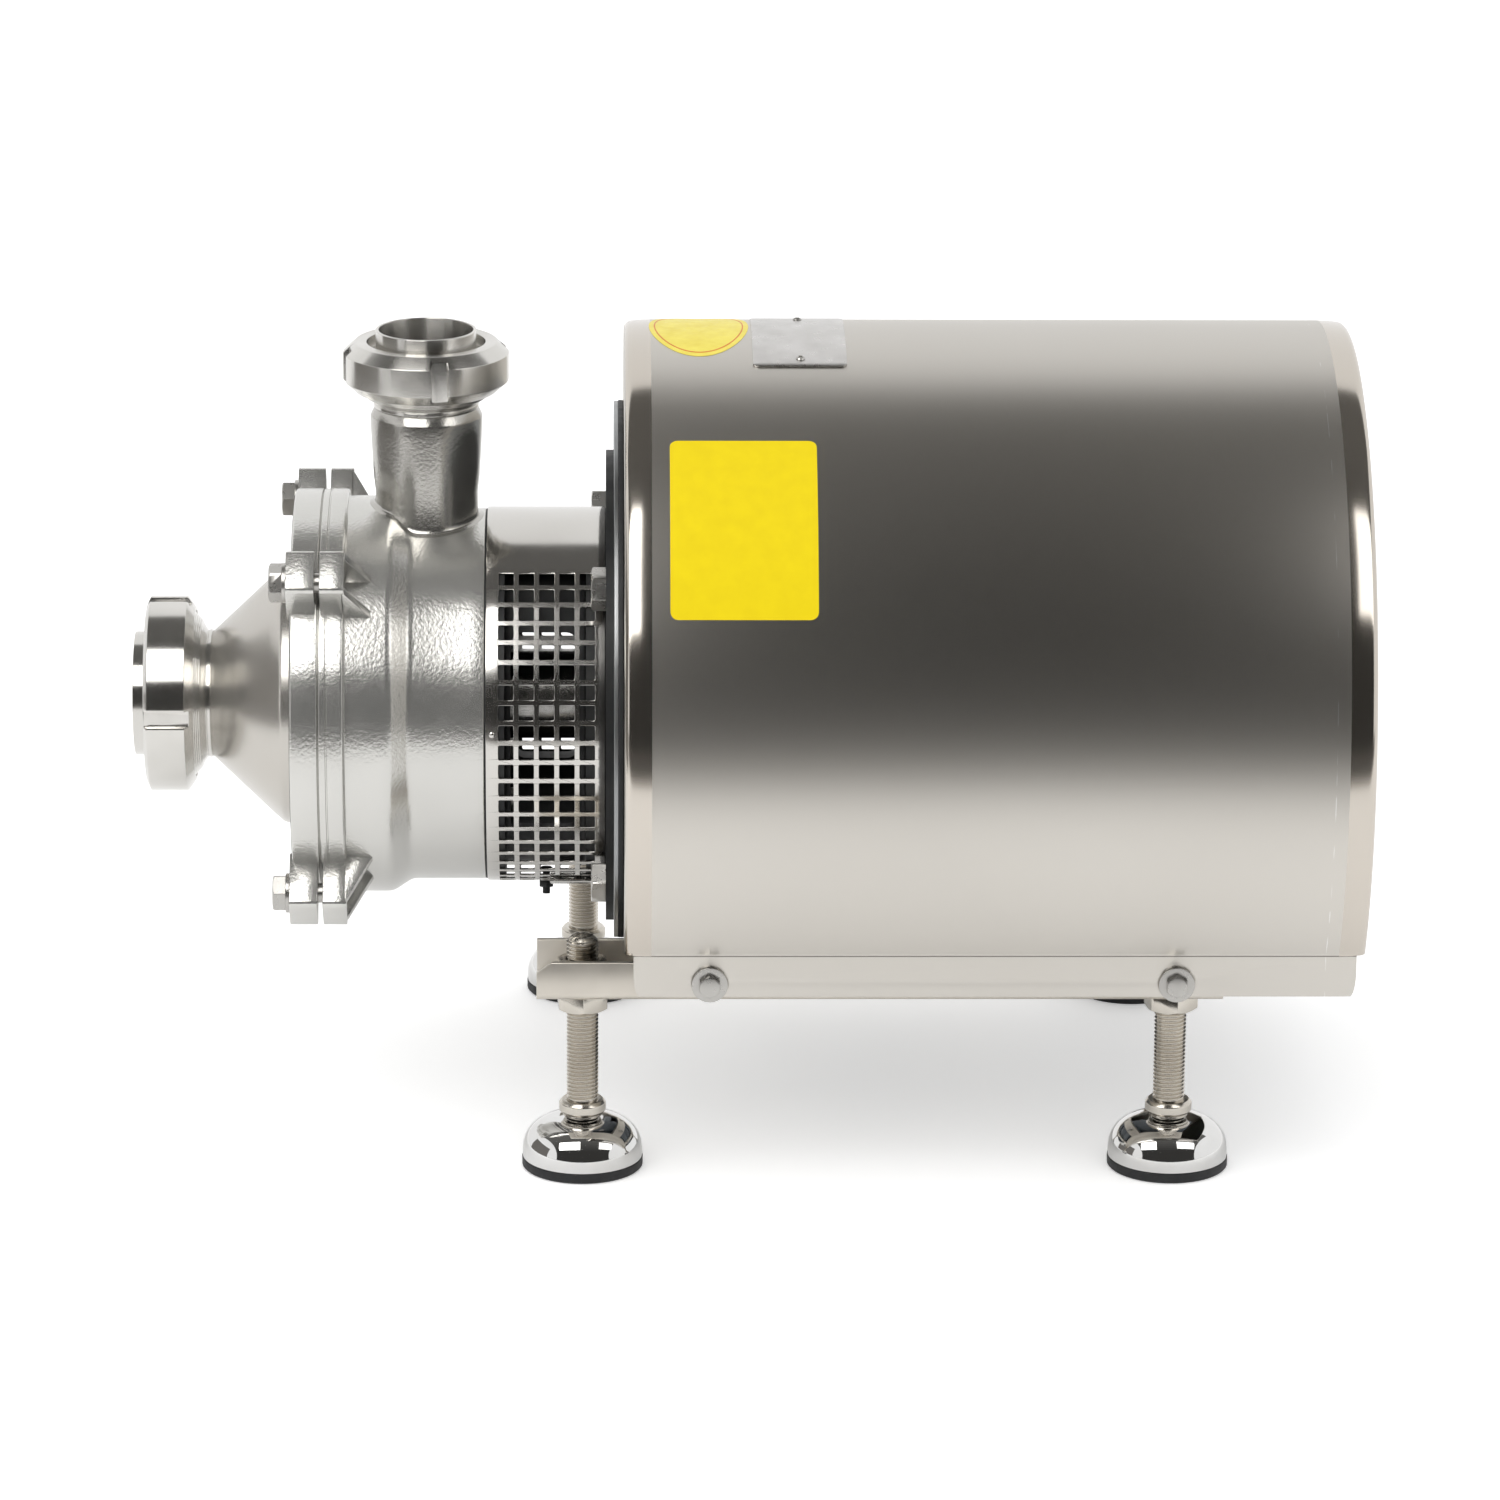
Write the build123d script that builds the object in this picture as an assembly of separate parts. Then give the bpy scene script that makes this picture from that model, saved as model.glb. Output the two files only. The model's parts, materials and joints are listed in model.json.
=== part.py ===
from build123d import *
from math import asin, atan2, cos, degrees, radians, sin, sqrt, tan
import os

# Self-priming pump with a direct coupled motor under a drum shaped shroud, on four levelling feet.
# X runs along the shaft from the suction port to the motor, Z is up and the shroud's plain side faces -Y.
# Pieces are drawn from the joint between the front cover and the casing, on the shaft axis,
# and moved at the end so that the origin is on the floor under the middle of the pump.

# Clearances
running_gap = 0.05
seat_gap = 0.1
thread_gap = 0.15
free_gap = 0.3

# Height of the shaft axis above the floor
axis_height = 206.0

# Tube unions
suction_tube_radius = 31.75
suction_thread_radius = 42.5
suction_nut_radius = 50.0
outlet_tube_radius = 25.5
outlet_thread_radius = 35.0
outlet_nut_radius = 42.0
tube_wall = 1.6
union_neck_length = 5.2
union_nut_start = 8.8
union_nut_length = 25.0
union_male_length = 21.0
union_lip_overlap = 5.0
union_liner_proud = 6.1
union_collar_thickness = 5.0
union_gasket_thickness = 2.4
union_gasket_width = 4.0
union_gasket_relief = 0.8
union_slot_width = 8.3
union_slot_depth = 3.5
union_slots = 4
union_chamfer_radial = 3.8
union_chamfer_axial = 5.2
union_thread_relief = 2.5
union_thread_chamfer = 1.5
union_weld_step = 0.4
union_liner_cone_width = 2.5
union_liner_cone_length = 3.0
outlet_nut_turn = 11.0

# Front cover
cover_length = 56.8
cover_cone_angle = 43.5
cover_wall = 4.5
cover_hub_radius = 66.0
cover_hub_length = 6.0
cover_flange_thickness = 14.3
cover_spigot_length = 3.0
cover_cone_step = 5.0
cover_cone_round = 10.0
flange_radius = 105.0
seal_ring_section = 2.3
seal_ring_radius = 100.6

# Pump casing
casing_flange_thickness = 13.1
casing_front_radius = 101.5
casing_front_length = 35.3
casing_taper_length = 10.0
casing_rear_radius = 95.0
casing_length = 83.0
casing_wall = 5.0
casing_rear_wall = 8.0
casing_blend = 7.0
casing_groove_place = 3.7
casing_groove_size = 0.8

# Discharge nozzle
nozzle_x = 53.0
nozzle_height = 152.0
nozzle_top_radius = 28.5
nozzle_foot_radius = 26.0
nozzle_flare = 4.0
nozzle_shoulder = 5.0
nozzle_flare_start = 8.0
nozzle_flare_end = -9.0
nozzle_blend = 12.0

# Clamping lugs of cover and casing
lug_count = 4
lug_circle_radius = 115.0
lug_width = 24.0
lug_outer_radius = 128.0
cover_lug_thickness = 14.3
casing_lug_thickness = 12.1
lug_gap = 2.6
gusset_thickness = 4.0
gusset_length = 13.0
lug_round = 3.0

# Bolts: shank radius, width across flats and head height
bolt_end = 3.0
hex_chamfer_share = 0.6
hex_chamfer_drop = 1.1
m6_radius = 3.0
m6_flats = 10.0
m6_head = 4.0
m8_radius = 4.0
m8_flats = 13.0
m8_head = 5.3
m10_radius = 5.0
m10_flats = 17.0
m10_head = 6.6
m10_nut = 8.0
m12_radius = 6.0
m12_flats = 19.0
m12_head = 7.5
m12_nut = 10.0
m10_washer_radius = 10.0
m10_washer_thickness = 2.0
m6_washer_radius = 9.0
m6_washer_thickness = 1.5

# Impeller and shaft
impeller_radius = 88.0
impeller_front_gap = 0.6
vane_depth = 26.0
vane_thickness = 4.0
vane_count = 6
vane_inner_radius = 22.0
vane_sweep = 55.0
vane_middle_share = 0.33
impeller_disc = 5.0
impeller_hub_radius = 17.0
impeller_hub_front = 8.0
impeller_hub_rear = 50.0
impeller_seat_radius = 10.0
cap_nut_flats = 24.0
cap_nut_length = 20.0
cap_nut_bore_radius = 8.0
cap_nut_hexagon = 12.0
cap_nut_rim = 17.0
cap_nut_ball_height = 8.0
cap_nut_bore_depth = 14.0
seal_seat_radius = 12.5
seal_spring_length = 15.0
seal_spring_wire = 2.4
seal_spring_turns = 3.5
seal_rotary_length = 8.0
seal_rotary_radius = 19.0
seal_stationary_radius = 21.0
seal_stationary_length = 7.0
seal_lip = 2.0
stub_hub_radius = 23.0
stub_hub_start = 91.0
stub_hub_end = 140.0
stub_wall = 2.0

# Lantern between casing and motor
lantern_start = 83.0
lantern_flange = 10.0
lantern_tube_radius = 86.0
lantern_tube_wall = 9.0
lantern_window_height = 104.0
lantern_window_length = 34.0
lantern_rear_boss = 10.0
lantern_rear_face = 148.0
adapter_flange_radius = 125.0
adapter_flange_thickness = 4.0
adapter_bolt_circle = 109.0
lantern_bolt_circle = 62.0
lantern_bolt_length = 14.0
lantern_bore_radius = 34.0
lantern_window_setback = 3.0
lantern_window_round = 6.0

# Mesh guard
guard_radius = 96.0
guard_sheet = 1.0
guard_start = 83.7
guard_end = 143.6
guard_hole = 7.6
guard_pitch = 10.2
guard_columns = 5
guard_first_column = 6.4
guard_solid_half_angle = 37.0

# Front plate and its rubber rim
plate_radius = 150.0
plate_thickness = 2.0
plate_rail_gap = 0.5
rim_depth = 3.0
rim_width = 9.0

# Motor
spigot_radius = 90.0
spigot_length = 3.4
motor_flange_thickness = 12.0
motor_shield_length = 28.0
motor_body_radius = 98.0
motor_body_wall = 10.0
motor_body_length = 222.0
motor_fin_height = 7.0
motor_fin_thickness = 3.0
motor_fin_count = 28
motor_shield_wall = 8.0
motor_shield_lip = 2.0
motor_foot_room = 2.0
motor_foot_gauge = 160.0
motor_foot_pitch = 140.0
motor_foot_setback = 63.0
motor_foot_thickness = 12.0
motor_foot_width = 42.0
motor_foot_web = 7.0
motor_foot_web_height = 34.0
motor_foot_end = 18.0
motor_fin_setback = 4.0
stator_length = 150.0
stator_thickness = 34.0
winding_overhang = 18.0
winding_outer_gap = 12.0
winding_inner_gap = 2.0
air_gap = 0.5
rotor_length = 150.0
shaft_end_radius = 14.0
shaft_end_length = 58.0
bearing_bore_radius = 15.0
bearing_outer_radius = 31.0
bearing_width = 16.0
rotor_bore_radius = 17.0
fan_tip_gap = 14.5
fan_length = 26.0
fan_hub_radius = 22.0
fan_disc_share = 0.6
fan_sheet = 3.0
fan_blades = 7
fan_cover_room = 8.0
fan_cover_hole_radius = 30.0
fan_cover_slots = 12
fan_cover_slot_start = 40.0
fan_cover_slot_margin = 24.0
fan_cover_slot_width = 8.0
fan_cover_length = 58.0
fan_cover_sheet = 1.5
fan_cover_overlap = 6.0
fan_cover_collar = 4.0
key_width = 8.0
key_height = 7.0
key_length = 40.0
impeller_key_width = 6.0
impeller_key_length = 28.0
terminal_box_length = 100.0
terminal_box_width = 90.0
terminal_box_height = 38.0
terminal_box_start = 30.0
terminal_box_seat = 4.0
terminal_box_wall = 4.0
terminal_box_round = 8.0
terminal_lid_thickness = 6.0
terminal_lid_round = 2.0
gland_radius = 11.0
gland_length = 20.0
gland_wall = 4.0
gland_place_share = 0.7

# Shroud
shroud_top = 192.0
shroud_bend_room = 5.7
shroud_length = 368.6
shroud_sheet = 1.5
shroud_rail_gap = 0.5
shroud_tab_below_bolts = 6.5
shroud_tab_round = 12.0
shroud_tab_setback = 4.0
shroud_edge_round = 4.0
shroud_opening_radius = 141.0
shroud_wall_above_rail = 1.0
shroud_slot_width = 7.0

# Base rails
rail_start = 109.5
rail_length = 341.8
rail_width = 40.0
rail_height = 20.0
rail_sheet = 3.0
rail_top = 93.0
shroud_bolt_below_rail_top = 10.5
shroud_bolt_x = (195.5, 427.7)
rail_centre = 138.0
rail_corner_length = 7.6
rail_corner_height = 5.6
cross_bar_width = 40.0
cross_bar_thickness = 10.0

# Levelling feet
foot_x_front = 132.3
foot_x_rear = 426.8
stud_radius = 8.0
stud_top = 122.0
stud_dome = 3.0
foot_nut_flats = 24.0
foot_nut_height = 13.0
foot_lock_nut_height = 10.0
cup_radius = 30.0
cup_top = 25.0
cup_wall = 2.5
pad_thickness = 5.0
pad_radius = 30.3
pad_step = 2.0
collar_radius = 11.75
collar_top = 35.0
collar_height = 7.0
cup_swing_gap = 1.4
ball_radius = 10.0
ball_height = 14.5
neck_radius = 6.5

# Worked out sizes
plate_front = lantern_rear_face
motor_face = plate_front + plate_thickness
shroud_front = motor_face + rim_depth
shroud_rear = shroud_front + shroud_length
liner_tip = cover_length + union_nut_start + union_nut_length + union_liner_proud
middle_x = (shroud_rear - liner_tip) / 2
floor_level = -axis_height
motor_axis_height = motor_body_radius + motor_foot_room
plate_chord = rail_top - plate_rail_gap
fan_cover_radius = motor_body_radius + fan_cover_room
fan_radius = fan_cover_radius - fan_cover_sheet - fan_tip_gap
shroud_bolt_level = rail_top + shroud_bolt_below_rail_top
shroud_tab_bottom = shroud_bolt_level + shroud_tab_below_bolts
shroud_wall_bottom = rail_top - shroud_wall_above_rail
shroud_half_width = rail_centre + rail_width / 2 + shroud_rail_gap + shroud_sheet

# The drum's arc runs over its top and through both bend lines
bend_height = m6_washer_radius + shroud_bend_room - shroud_bolt_level
arc_height = shroud_top - bend_height
shroud_radius = (arc_height**2 + shroud_half_width**2) / (2 * arc_height)
shroud_rise = shroud_top - shroud_radius
diagonals = [45 + 90 * index for index in range(lug_count)]


def disc_x(start, end, radius):
    """A round bar along the shaft axis."""
    return Pos(start, 0, 0) * Rot(0, 90, 0) * upright(radius, 0, end - start)


def ring_x(start, end, outer, inner):
    """A ring along the shaft axis."""
    return disc_x(start, end, outer) - disc_x(start - 1, end + 1, inner)


def turned_x(corners):
    """A turned piece along the shaft axis from (x, radius, corner radius) points."""
    points = [(x, radius) for x, radius, _ in corners]
    rounds = [corner for _, _, corner in corners]
    return revolve(make_face(FilletPolyline(*points, radius=rounds, close=True)), Axis.X)


def turned_z(corners):
    """A turned piece along Z from (radius, height, corner radius) points."""
    points = [(radius, height) for radius, height, _ in corners]
    rounds = [corner for _, _, corner in corners]
    face = make_face(FilletPolyline(*points, radius=rounds, close=True))
    return revolve(Plane.XZ * face, Axis.Z)


def upright(radius, bottom, top):
    """A round bar along Z."""
    return Pos(0, 0, bottom) * Cylinder(radius, top - bottom, align=(Align.CENTER, Align.CENTER, Align.MIN))


def block(x_range, y_range, z_range):
    """A box between two corners."""
    size = [high - low for low, high in (x_range, y_range, z_range)]
    centre = [(high + low) / 2 for low, high in (x_range, y_range, z_range)]
    return Pos(*centre) * Box(*size)


def hexagon(flats, height):
    """A hexagon bar along Z with its top corners turned off."""
    corner_radius = flats / 2 / cos(radians(30))
    bar = extrude(RegularPolygon(corner_radius, 6), height)
    blank = upright(corner_radius, 0, height)
    corner = corner_radius - flats / 2
    top_edge = blank.edges().sort_by(Axis.Z)[-1]
    blank = chamfer(top_edge, corner * hex_chamfer_share, corner * hex_chamfer_drop)
    return bar & blank


def hex_bolt(flats, head, shank_radius, length):
    """A hex bolt, head up from Z = 0 and shank down."""
    return hexagon(flats, head) + upright(shank_radius, -length, 0)


def hex_nut(flats, height, bore_radius):
    """A hex nut standing on Z = 0."""
    return hexagon(flats, height) - upright(bore_radius, -1, height + 1)


def chord_cut(piece, start, end, radius, depth):
    """Cuts a disc flat at the bottom."""
    return piece - block((start - 1, end + 1), (-radius - 1, radius + 1), (-radius - 1, -depth))


def facing_front(x, radius, angle):
    """Place on a circle about the shaft axis, with Z turned towards the suction side."""
    place = Pos(x, radius * cos(radians(angle)), radius * sin(radians(angle)))
    return place * Rot(angle, 0, 0) * Rot(0, -90, 0)


# Tube unions, drawn along Z from the root of the welded male part

def union_lip_radius(tube_radius):
    return tube_radius + union_lip_overlap - 0.5


def male_union(tube_radius, thread_radius):
    """Threaded part that is welded to the pump."""
    gasket_seat = union_male_length - union_gasket_thickness / 2
    bore = tube_radius - tube_wall
    relief = thread_radius - union_thread_relief
    return turned_z([
        (bore, 0, 0),
        (tube_radius + union_weld_step, 0, 0),
        (tube_radius + 2 * union_weld_step, union_neck_length / 2, 0),
        (relief, union_neck_length + 1.6, 0),
        (relief, union_nut_start + 0.6, 0),
        (thread_radius, union_nut_start + 1.6, 0),
        (thread_radius, union_male_length - union_thread_chamfer, 0),
        (thread_radius - union_thread_chamfer, union_male_length, 0),
        (bore + union_gasket_width + seat_gap, union_male_length, 0),
        (bore + union_gasket_width + seat_gap, gasket_seat, 0),
        (bore, gasket_seat, 0),
    ])


def gasket(tube_radius):
    """Flat joint ring between male part and liner, a little wider inside than the tube."""
    tube_bore = tube_radius - tube_wall
    start = union_male_length - union_gasket_thickness / 2
    end = start + union_gasket_thickness
    ring = upright(tube_bore + union_gasket_width, start, end)
    return ring - upright(tube_bore + union_gasket_relief, start - 1, end + 1)


def liner(tube_radius, thread_radius):
    """Collared tube end that the nut pulls in."""
    start = union_male_length + union_gasket_thickness / 2
    collar_end = start + union_collar_thickness
    tip = union_nut_start + union_nut_length + union_liner_proud
    bore = tube_radius - tube_wall
    collar_outer = thread_radius - 1.0
    return turned_z([
        (bore, start, 0),
        (collar_outer, start, 0),
        (collar_outer, collar_end, 0),
        (tube_radius + union_liner_cone_width, collar_end, 0),
        (tube_radius, collar_end + union_liner_cone_length, 0),
        (tube_radius, tip, 0),
        (bore, tip, 0),
    ])


def union_nut(tube_radius, thread_radius, nut_radius):
    """Slotted round nut."""
    end = union_nut_start + union_nut_length
    lip_start = union_male_length + union_gasket_thickness / 2 + union_collar_thickness + seat_gap
    lip_radius = union_lip_radius(tube_radius)
    bore = thread_radius + thread_gap
    nut = turned_z([
        (bore, union_nut_start, 0),
        (nut_radius - union_chamfer_radial, union_nut_start, 0),
        (nut_radius, union_nut_start + union_chamfer_axial, 0),
        (nut_radius, end - union_chamfer_axial, 0),
        (nut_radius - union_chamfer_radial, end, 0),
        (lip_radius, end, 0),
        (lip_radius, lip_start, 0),
        (bore, lip_start, 0),
    ])
    slot = block((nut_radius - union_slot_depth, nut_radius + 1),
                 (-union_slot_width / 2, union_slot_width / 2), (union_nut_start - 1, end + 1))
    return nut - [Rot(0, 0, 360 / union_slots * index) * slot for index in range(union_slots)]


suction_place = Pos(-cover_length, 0, 0) * Rot(0, -90, 0)
outlet_place = Pos(nozzle_x, 0, nozzle_height)
parts = {}

parts["suction_gasket"] = suction_place * gasket(suction_tube_radius)
parts["suction_liner"] = suction_place * liner(suction_tube_radius, suction_thread_radius)
parts["suction_union_nut"] = suction_place * union_nut(
    suction_tube_radius, suction_thread_radius, suction_nut_radius)
parts["outlet_gasket"] = outlet_place * gasket(outlet_tube_radius)
parts["outlet_liner"] = outlet_place * liner(outlet_tube_radius, outlet_thread_radius)
parts["outlet_union_nut"] = outlet_place * Rot(0, 0, outlet_nut_turn) * union_nut(
    outlet_tube_radius, outlet_thread_radius, outlet_nut_radius)


# Front cover with its cone, flange, lugs and welded male part

chamber_radius = casing_front_radius - casing_wall
cone_end_radius = cover_hub_radius - cover_cone_step
cone_end = -cover_length + (cone_end_radius - suction_tube_radius) / tan(radians(cover_cone_angle))
inner_bore = suction_tube_radius - tube_wall
inner_cone_end_radius = cone_end_radius - cover_wall
inner_cone_end = -cover_length + (inner_cone_end_radius - inner_bore) / tan(radians(cover_cone_angle))


def lug(front, rear):
    """Block that carries a clamping bolt, on the +Y side."""
    body = block((front, rear), (casing_rear_radius, lug_outer_radius), (-lug_width / 2, lug_width / 2))
    corners = body.edges().filter_by(Axis.X).sort_by(Axis.Y)[-2:]
    return fillet(corners, lug_round)


def cover():
    shell = turned_x([
        (-cover_length, inner_bore, 0),
        (-cover_length, suction_tube_radius + union_weld_step, 0),
        (cone_end, cone_end_radius, cover_cone_round),
        (-cover_flange_thickness - cover_hub_length, cover_hub_radius, 4),
        (-cover_flange_thickness, cover_hub_radius + 1, 2),
        (-cover_flange_thickness, flange_radius, 2.5),
        (0, flange_radius, 0),
        (0, chamber_radius - seat_gap, 0),
        (cover_spigot_length, chamber_radius - seat_gap, 0),
        (cover_spigot_length, inner_cone_end_radius, 0),
        (inner_cone_end, inner_cone_end_radius, 6),
    ])
    front = -lug_gap / 2 - cover_lug_thickness
    lugs = [Rot(angle, 0, 0) * lug(front, -lug_gap / 2) for angle in diagonals]
    clear = disc_x(front - 1, cover_spigot_length + 1, casing_rear_radius + 2)
    holes = [facing_front(0, lug_circle_radius, angle) * upright(m10_radius + seat_gap, -1, -front + 1)
             for angle in diagonals]
    groove_depth = seal_ring_section + 0.1
    groove = ring_x(-groove_depth, 1, seal_ring_radius + seal_ring_section / 2 + seat_gap,
                    seal_ring_radius - seal_ring_section / 2 - seat_gap)
    return shell + [piece - clear for piece in lugs] - holes - groove + suction_place * male_union(
        suction_tube_radius, suction_thread_radius)


parts["front_cover"] = cover()
parts["cover_seal_ring"] = Pos(-seal_ring_section / 2 - 0.05, 0, 0) * Rot(0, 90, 0) * Torus(
    seal_ring_radius, seal_ring_section / 2)


# Pump casing with flange, lugs, gussets, nozzle and welded male part

def gusset():
    """Rib behind a casing lug, on the +Y side."""
    rear = lug_gap / 2 + casing_lug_thickness
    outline = make_face(Polyline(
        (rear - 2, casing_rear_radius - 2), (rear - 2, lug_outer_radius - lug_round),
        (rear, lug_outer_radius - lug_round), (rear + gusset_length, casing_front_radius - 1),
        (rear + gusset_length, casing_rear_radius - 2), close=True))
    return Pos(0, 0, lug_width / 2 - gusset_thickness) * extrude(outline, gusset_thickness)


casing_taper_end = casing_front_length + casing_taper_length
back_plate_start = casing_length - casing_rear_wall
rear_chamber_radius = casing_rear_radius - casing_wall
nozzle_bore_radius = outlet_tube_radius - tube_wall
casing_outside = turned_x([
    (0, 0, 0),
    (0, flange_radius, 0),
    (casing_flange_thickness, flange_radius, 2.0),
    (casing_flange_thickness, casing_front_radius, 0),
    (casing_front_length, casing_front_radius, casing_blend),
    (casing_taper_end, casing_rear_radius, casing_blend),
    (casing_length, casing_rear_radius, 0.8),
    (casing_length, 0, 0),
])


def casing():
    """Drum with the clamping flange and lugs, open at both ends."""
    groove = ring_x(casing_groove_place, casing_groove_place + casing_groove_size, flange_radius + 1,
                    flange_radius - casing_groove_size)
    rear = lug_gap / 2 + casing_lug_thickness
    lugs = [Rot(angle, 0, 0) * lug(lug_gap / 2, rear) for angle in diagonals]
    ribs = [Rot(angle, 0, 0) * rib for angle in diagonals for rib in (gusset(), mirror(gusset(), Plane.XY))]
    drum = casing_outside - disc_x(back_plate_start, casing_length + 1, flange_radius)
    chamber = turned_x([
        (-1, 0, 0),
        (-1, chamber_radius, 0),
        (casing_front_length + 1, chamber_radius, 4),
        (casing_taper_end, rear_chamber_radius, 4),
        (back_plate_start + 1, rear_chamber_radius, 0),
        (back_plate_start + 1, 0, 0),
    ])
    passage = outlet_place * upright(nozzle_bore_radius, -nozzle_height / 2, 1)
    taps = [facing_front(rear + 1, lug_circle_radius, angle) * upright(m10_radius + thread_gap, 0, rear + 2)
            for angle in diagonals]
    return drum + lugs + ribs - groove - chamber - passage - taps


def back_plate():
    """Rear wall welded into the drum, with the seal seat and the shaft hole."""
    plate = casing_outside & disc_x(back_plate_start, casing_length + 1, flange_radius)
    seal_seat = disc_x(back_plate_start - 1, casing_length - seal_lip, seal_stationary_radius + seat_gap)
    shaft_hole = disc_x(back_plate_start - 1, casing_length + 1, seal_seat_radius + 3)
    bolt_taps = [facing_front(casing_length + 1, lantern_bolt_circle, angle)
                 * upright(m8_radius + thread_gap, 0, casing_rear_wall - 1) for angle in diagonals]
    return plate - seal_seat - shaft_hole - bolt_taps


def outlet_nozzle():
    """Tube welded on top of the drum, with the outlet's male part."""
    foot_level = casing_rear_radius - nozzle_height
    tube = outlet_place * turned_z([
        (0, -nozzle_height, 0),
        (nozzle_foot_radius + nozzle_flare, -nozzle_height, 0),
        (nozzle_foot_radius + nozzle_flare, foot_level + nozzle_flare_end, 0),
        (nozzle_foot_radius, foot_level + nozzle_flare_start, nozzle_blend),
        (nozzle_top_radius, -nozzle_shoulder, 4),
        (outlet_tube_radius + 2 * union_weld_step, 0, 0),
        (0, 0, 0),
    ])
    tube = tube & disc_x(0, casing_length - 0.3, nozzle_height * 2)
    passage = outlet_place * upright(nozzle_bore_radius, -nozzle_height / 2, 1)
    union = outlet_place * male_union(outlet_tube_radius, outlet_thread_radius)
    return tube - casing_outside - passage + union


parts["casing_back_plate"] = back_plate()
parts["outlet_nozzle"] = outlet_nozzle()
parts["pump_casing"] = casing()
cover_bolt_head = -lug_gap / 2 - cover_lug_thickness - m10_washer_thickness
cover_bolt_length = cover_lug_thickness + casing_lug_thickness + lug_gap + m10_washer_thickness - 1.0
cover_washer = upright(m10_washer_radius, -m10_washer_thickness, 0) - upright(
    m10_radius + seat_gap, -m10_washer_thickness - 1, 1)
cover_bolt = hex_bolt(m10_flats, m10_head, m10_radius, cover_bolt_length)
parts["cover_bolts"] = Compound([
    solid for angle in diagonals
    for piece in (cover_bolt, cover_washer)
    for solid in (facing_front(cover_bolt_head, lug_circle_radius, angle) * piece).solids()])


# Impeller, cap nut, keys, pump shaft and mechanical seal

vane_front = cover_spigot_length + impeller_front_gap
disc_front = vane_front + vane_depth


def vane():
    """Backward curved vane, as a thick arc from the hub to the rim."""
    inner = Vector(vane_inner_radius, 0)
    outer = Vector(impeller_radius * cos(radians(vane_sweep)), impeller_radius * sin(radians(vane_sweep)))
    middle_radius = (vane_inner_radius + impeller_radius) / 2
    middle_turn = radians(vane_sweep * vane_middle_share)
    middle = Vector(middle_radius * cos(middle_turn), middle_radius * sin(middle_turn))
    arc = ThreePointArc(inner, middle, outer)
    outline = trace(arc, vane_thickness)
    return extrude(outline, vane_depth + 1)


def impeller():
    disc = turned_x([
        (impeller_hub_front, impeller_seat_radius + seat_gap, 0),
        (impeller_hub_front, impeller_hub_radius - 2, 0),
        (impeller_hub_front + 4, impeller_hub_radius, 0),
        (disc_front - 6, impeller_hub_radius + 3, 4),
        (disc_front, impeller_hub_radius + 10, 4),
        (disc_front, impeller_radius, 0),
        (disc_front + impeller_disc, impeller_radius, 0),
        (disc_front + impeller_disc, impeller_hub_radius, 0),
        (impeller_hub_rear, impeller_hub_radius, 0),
        (impeller_hub_rear, impeller_seat_radius + seat_gap, 0),
    ])
    place = Pos(vane_front, 0, 0) * Rot(0, 90, 0)
    vanes = [place * Rot(0, 0, 360 / vane_count * index) * vane() for index in range(vane_count)]
    keyway = block((impeller_hub_front - 1, impeller_hub_rear + 1),
                   (-impeller_key_width / 2 - seat_gap, impeller_key_width / 2 + seat_gap),
                   (0, impeller_seat_radius + impeller_key_width / 2 + seat_gap))
    wheel = (disc + vanes) & disc_x(vane_front, impeller_hub_rear, impeller_radius)
    return wheel - keyway


parts["impeller"] = impeller()
cap_nut = hexagon(cap_nut_flats, cap_nut_hexagon) + upright(cap_nut_flats / 2 - 1, 0, cap_nut_rim)
cap_nut = cap_nut + Pos(0, 0, cap_nut_ball_height) * Sphere(cap_nut_flats / 2)
cap_nut = (cap_nut & upright(cap_nut_flats, 0, cap_nut_length)) - upright(
    cap_nut_bore_radius + thread_gap, -1, cap_nut_bore_depth)
parts["impeller_nut"] = Pos(impeller_hub_front, 0, 0) * Rot(0, -90, 0) * cap_nut

key_middle = (impeller_hub_front + impeller_hub_rear) / 2
motor_shaft_front = motor_face - shaft_end_length
key_start = motor_shaft_front + 4
key_reach = key_height / 2


def shaft_keys():
    impeller_key = block((key_middle - impeller_key_length / 2, key_middle + impeller_key_length / 2),
                         (-impeller_key_width / 2, impeller_key_width / 2),
                         (impeller_seat_radius - impeller_key_width / 2,
                          impeller_seat_radius + impeller_key_width / 2))
    motor_key = block((key_start, key_start + key_length), (-key_width / 2, key_width / 2),
                      (shaft_end_radius - key_reach, shaft_end_radius + key_reach))
    return Compound([impeller_key.solid(), motor_key.solid()])


parts["shaft_keys"] = shaft_keys()


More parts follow.
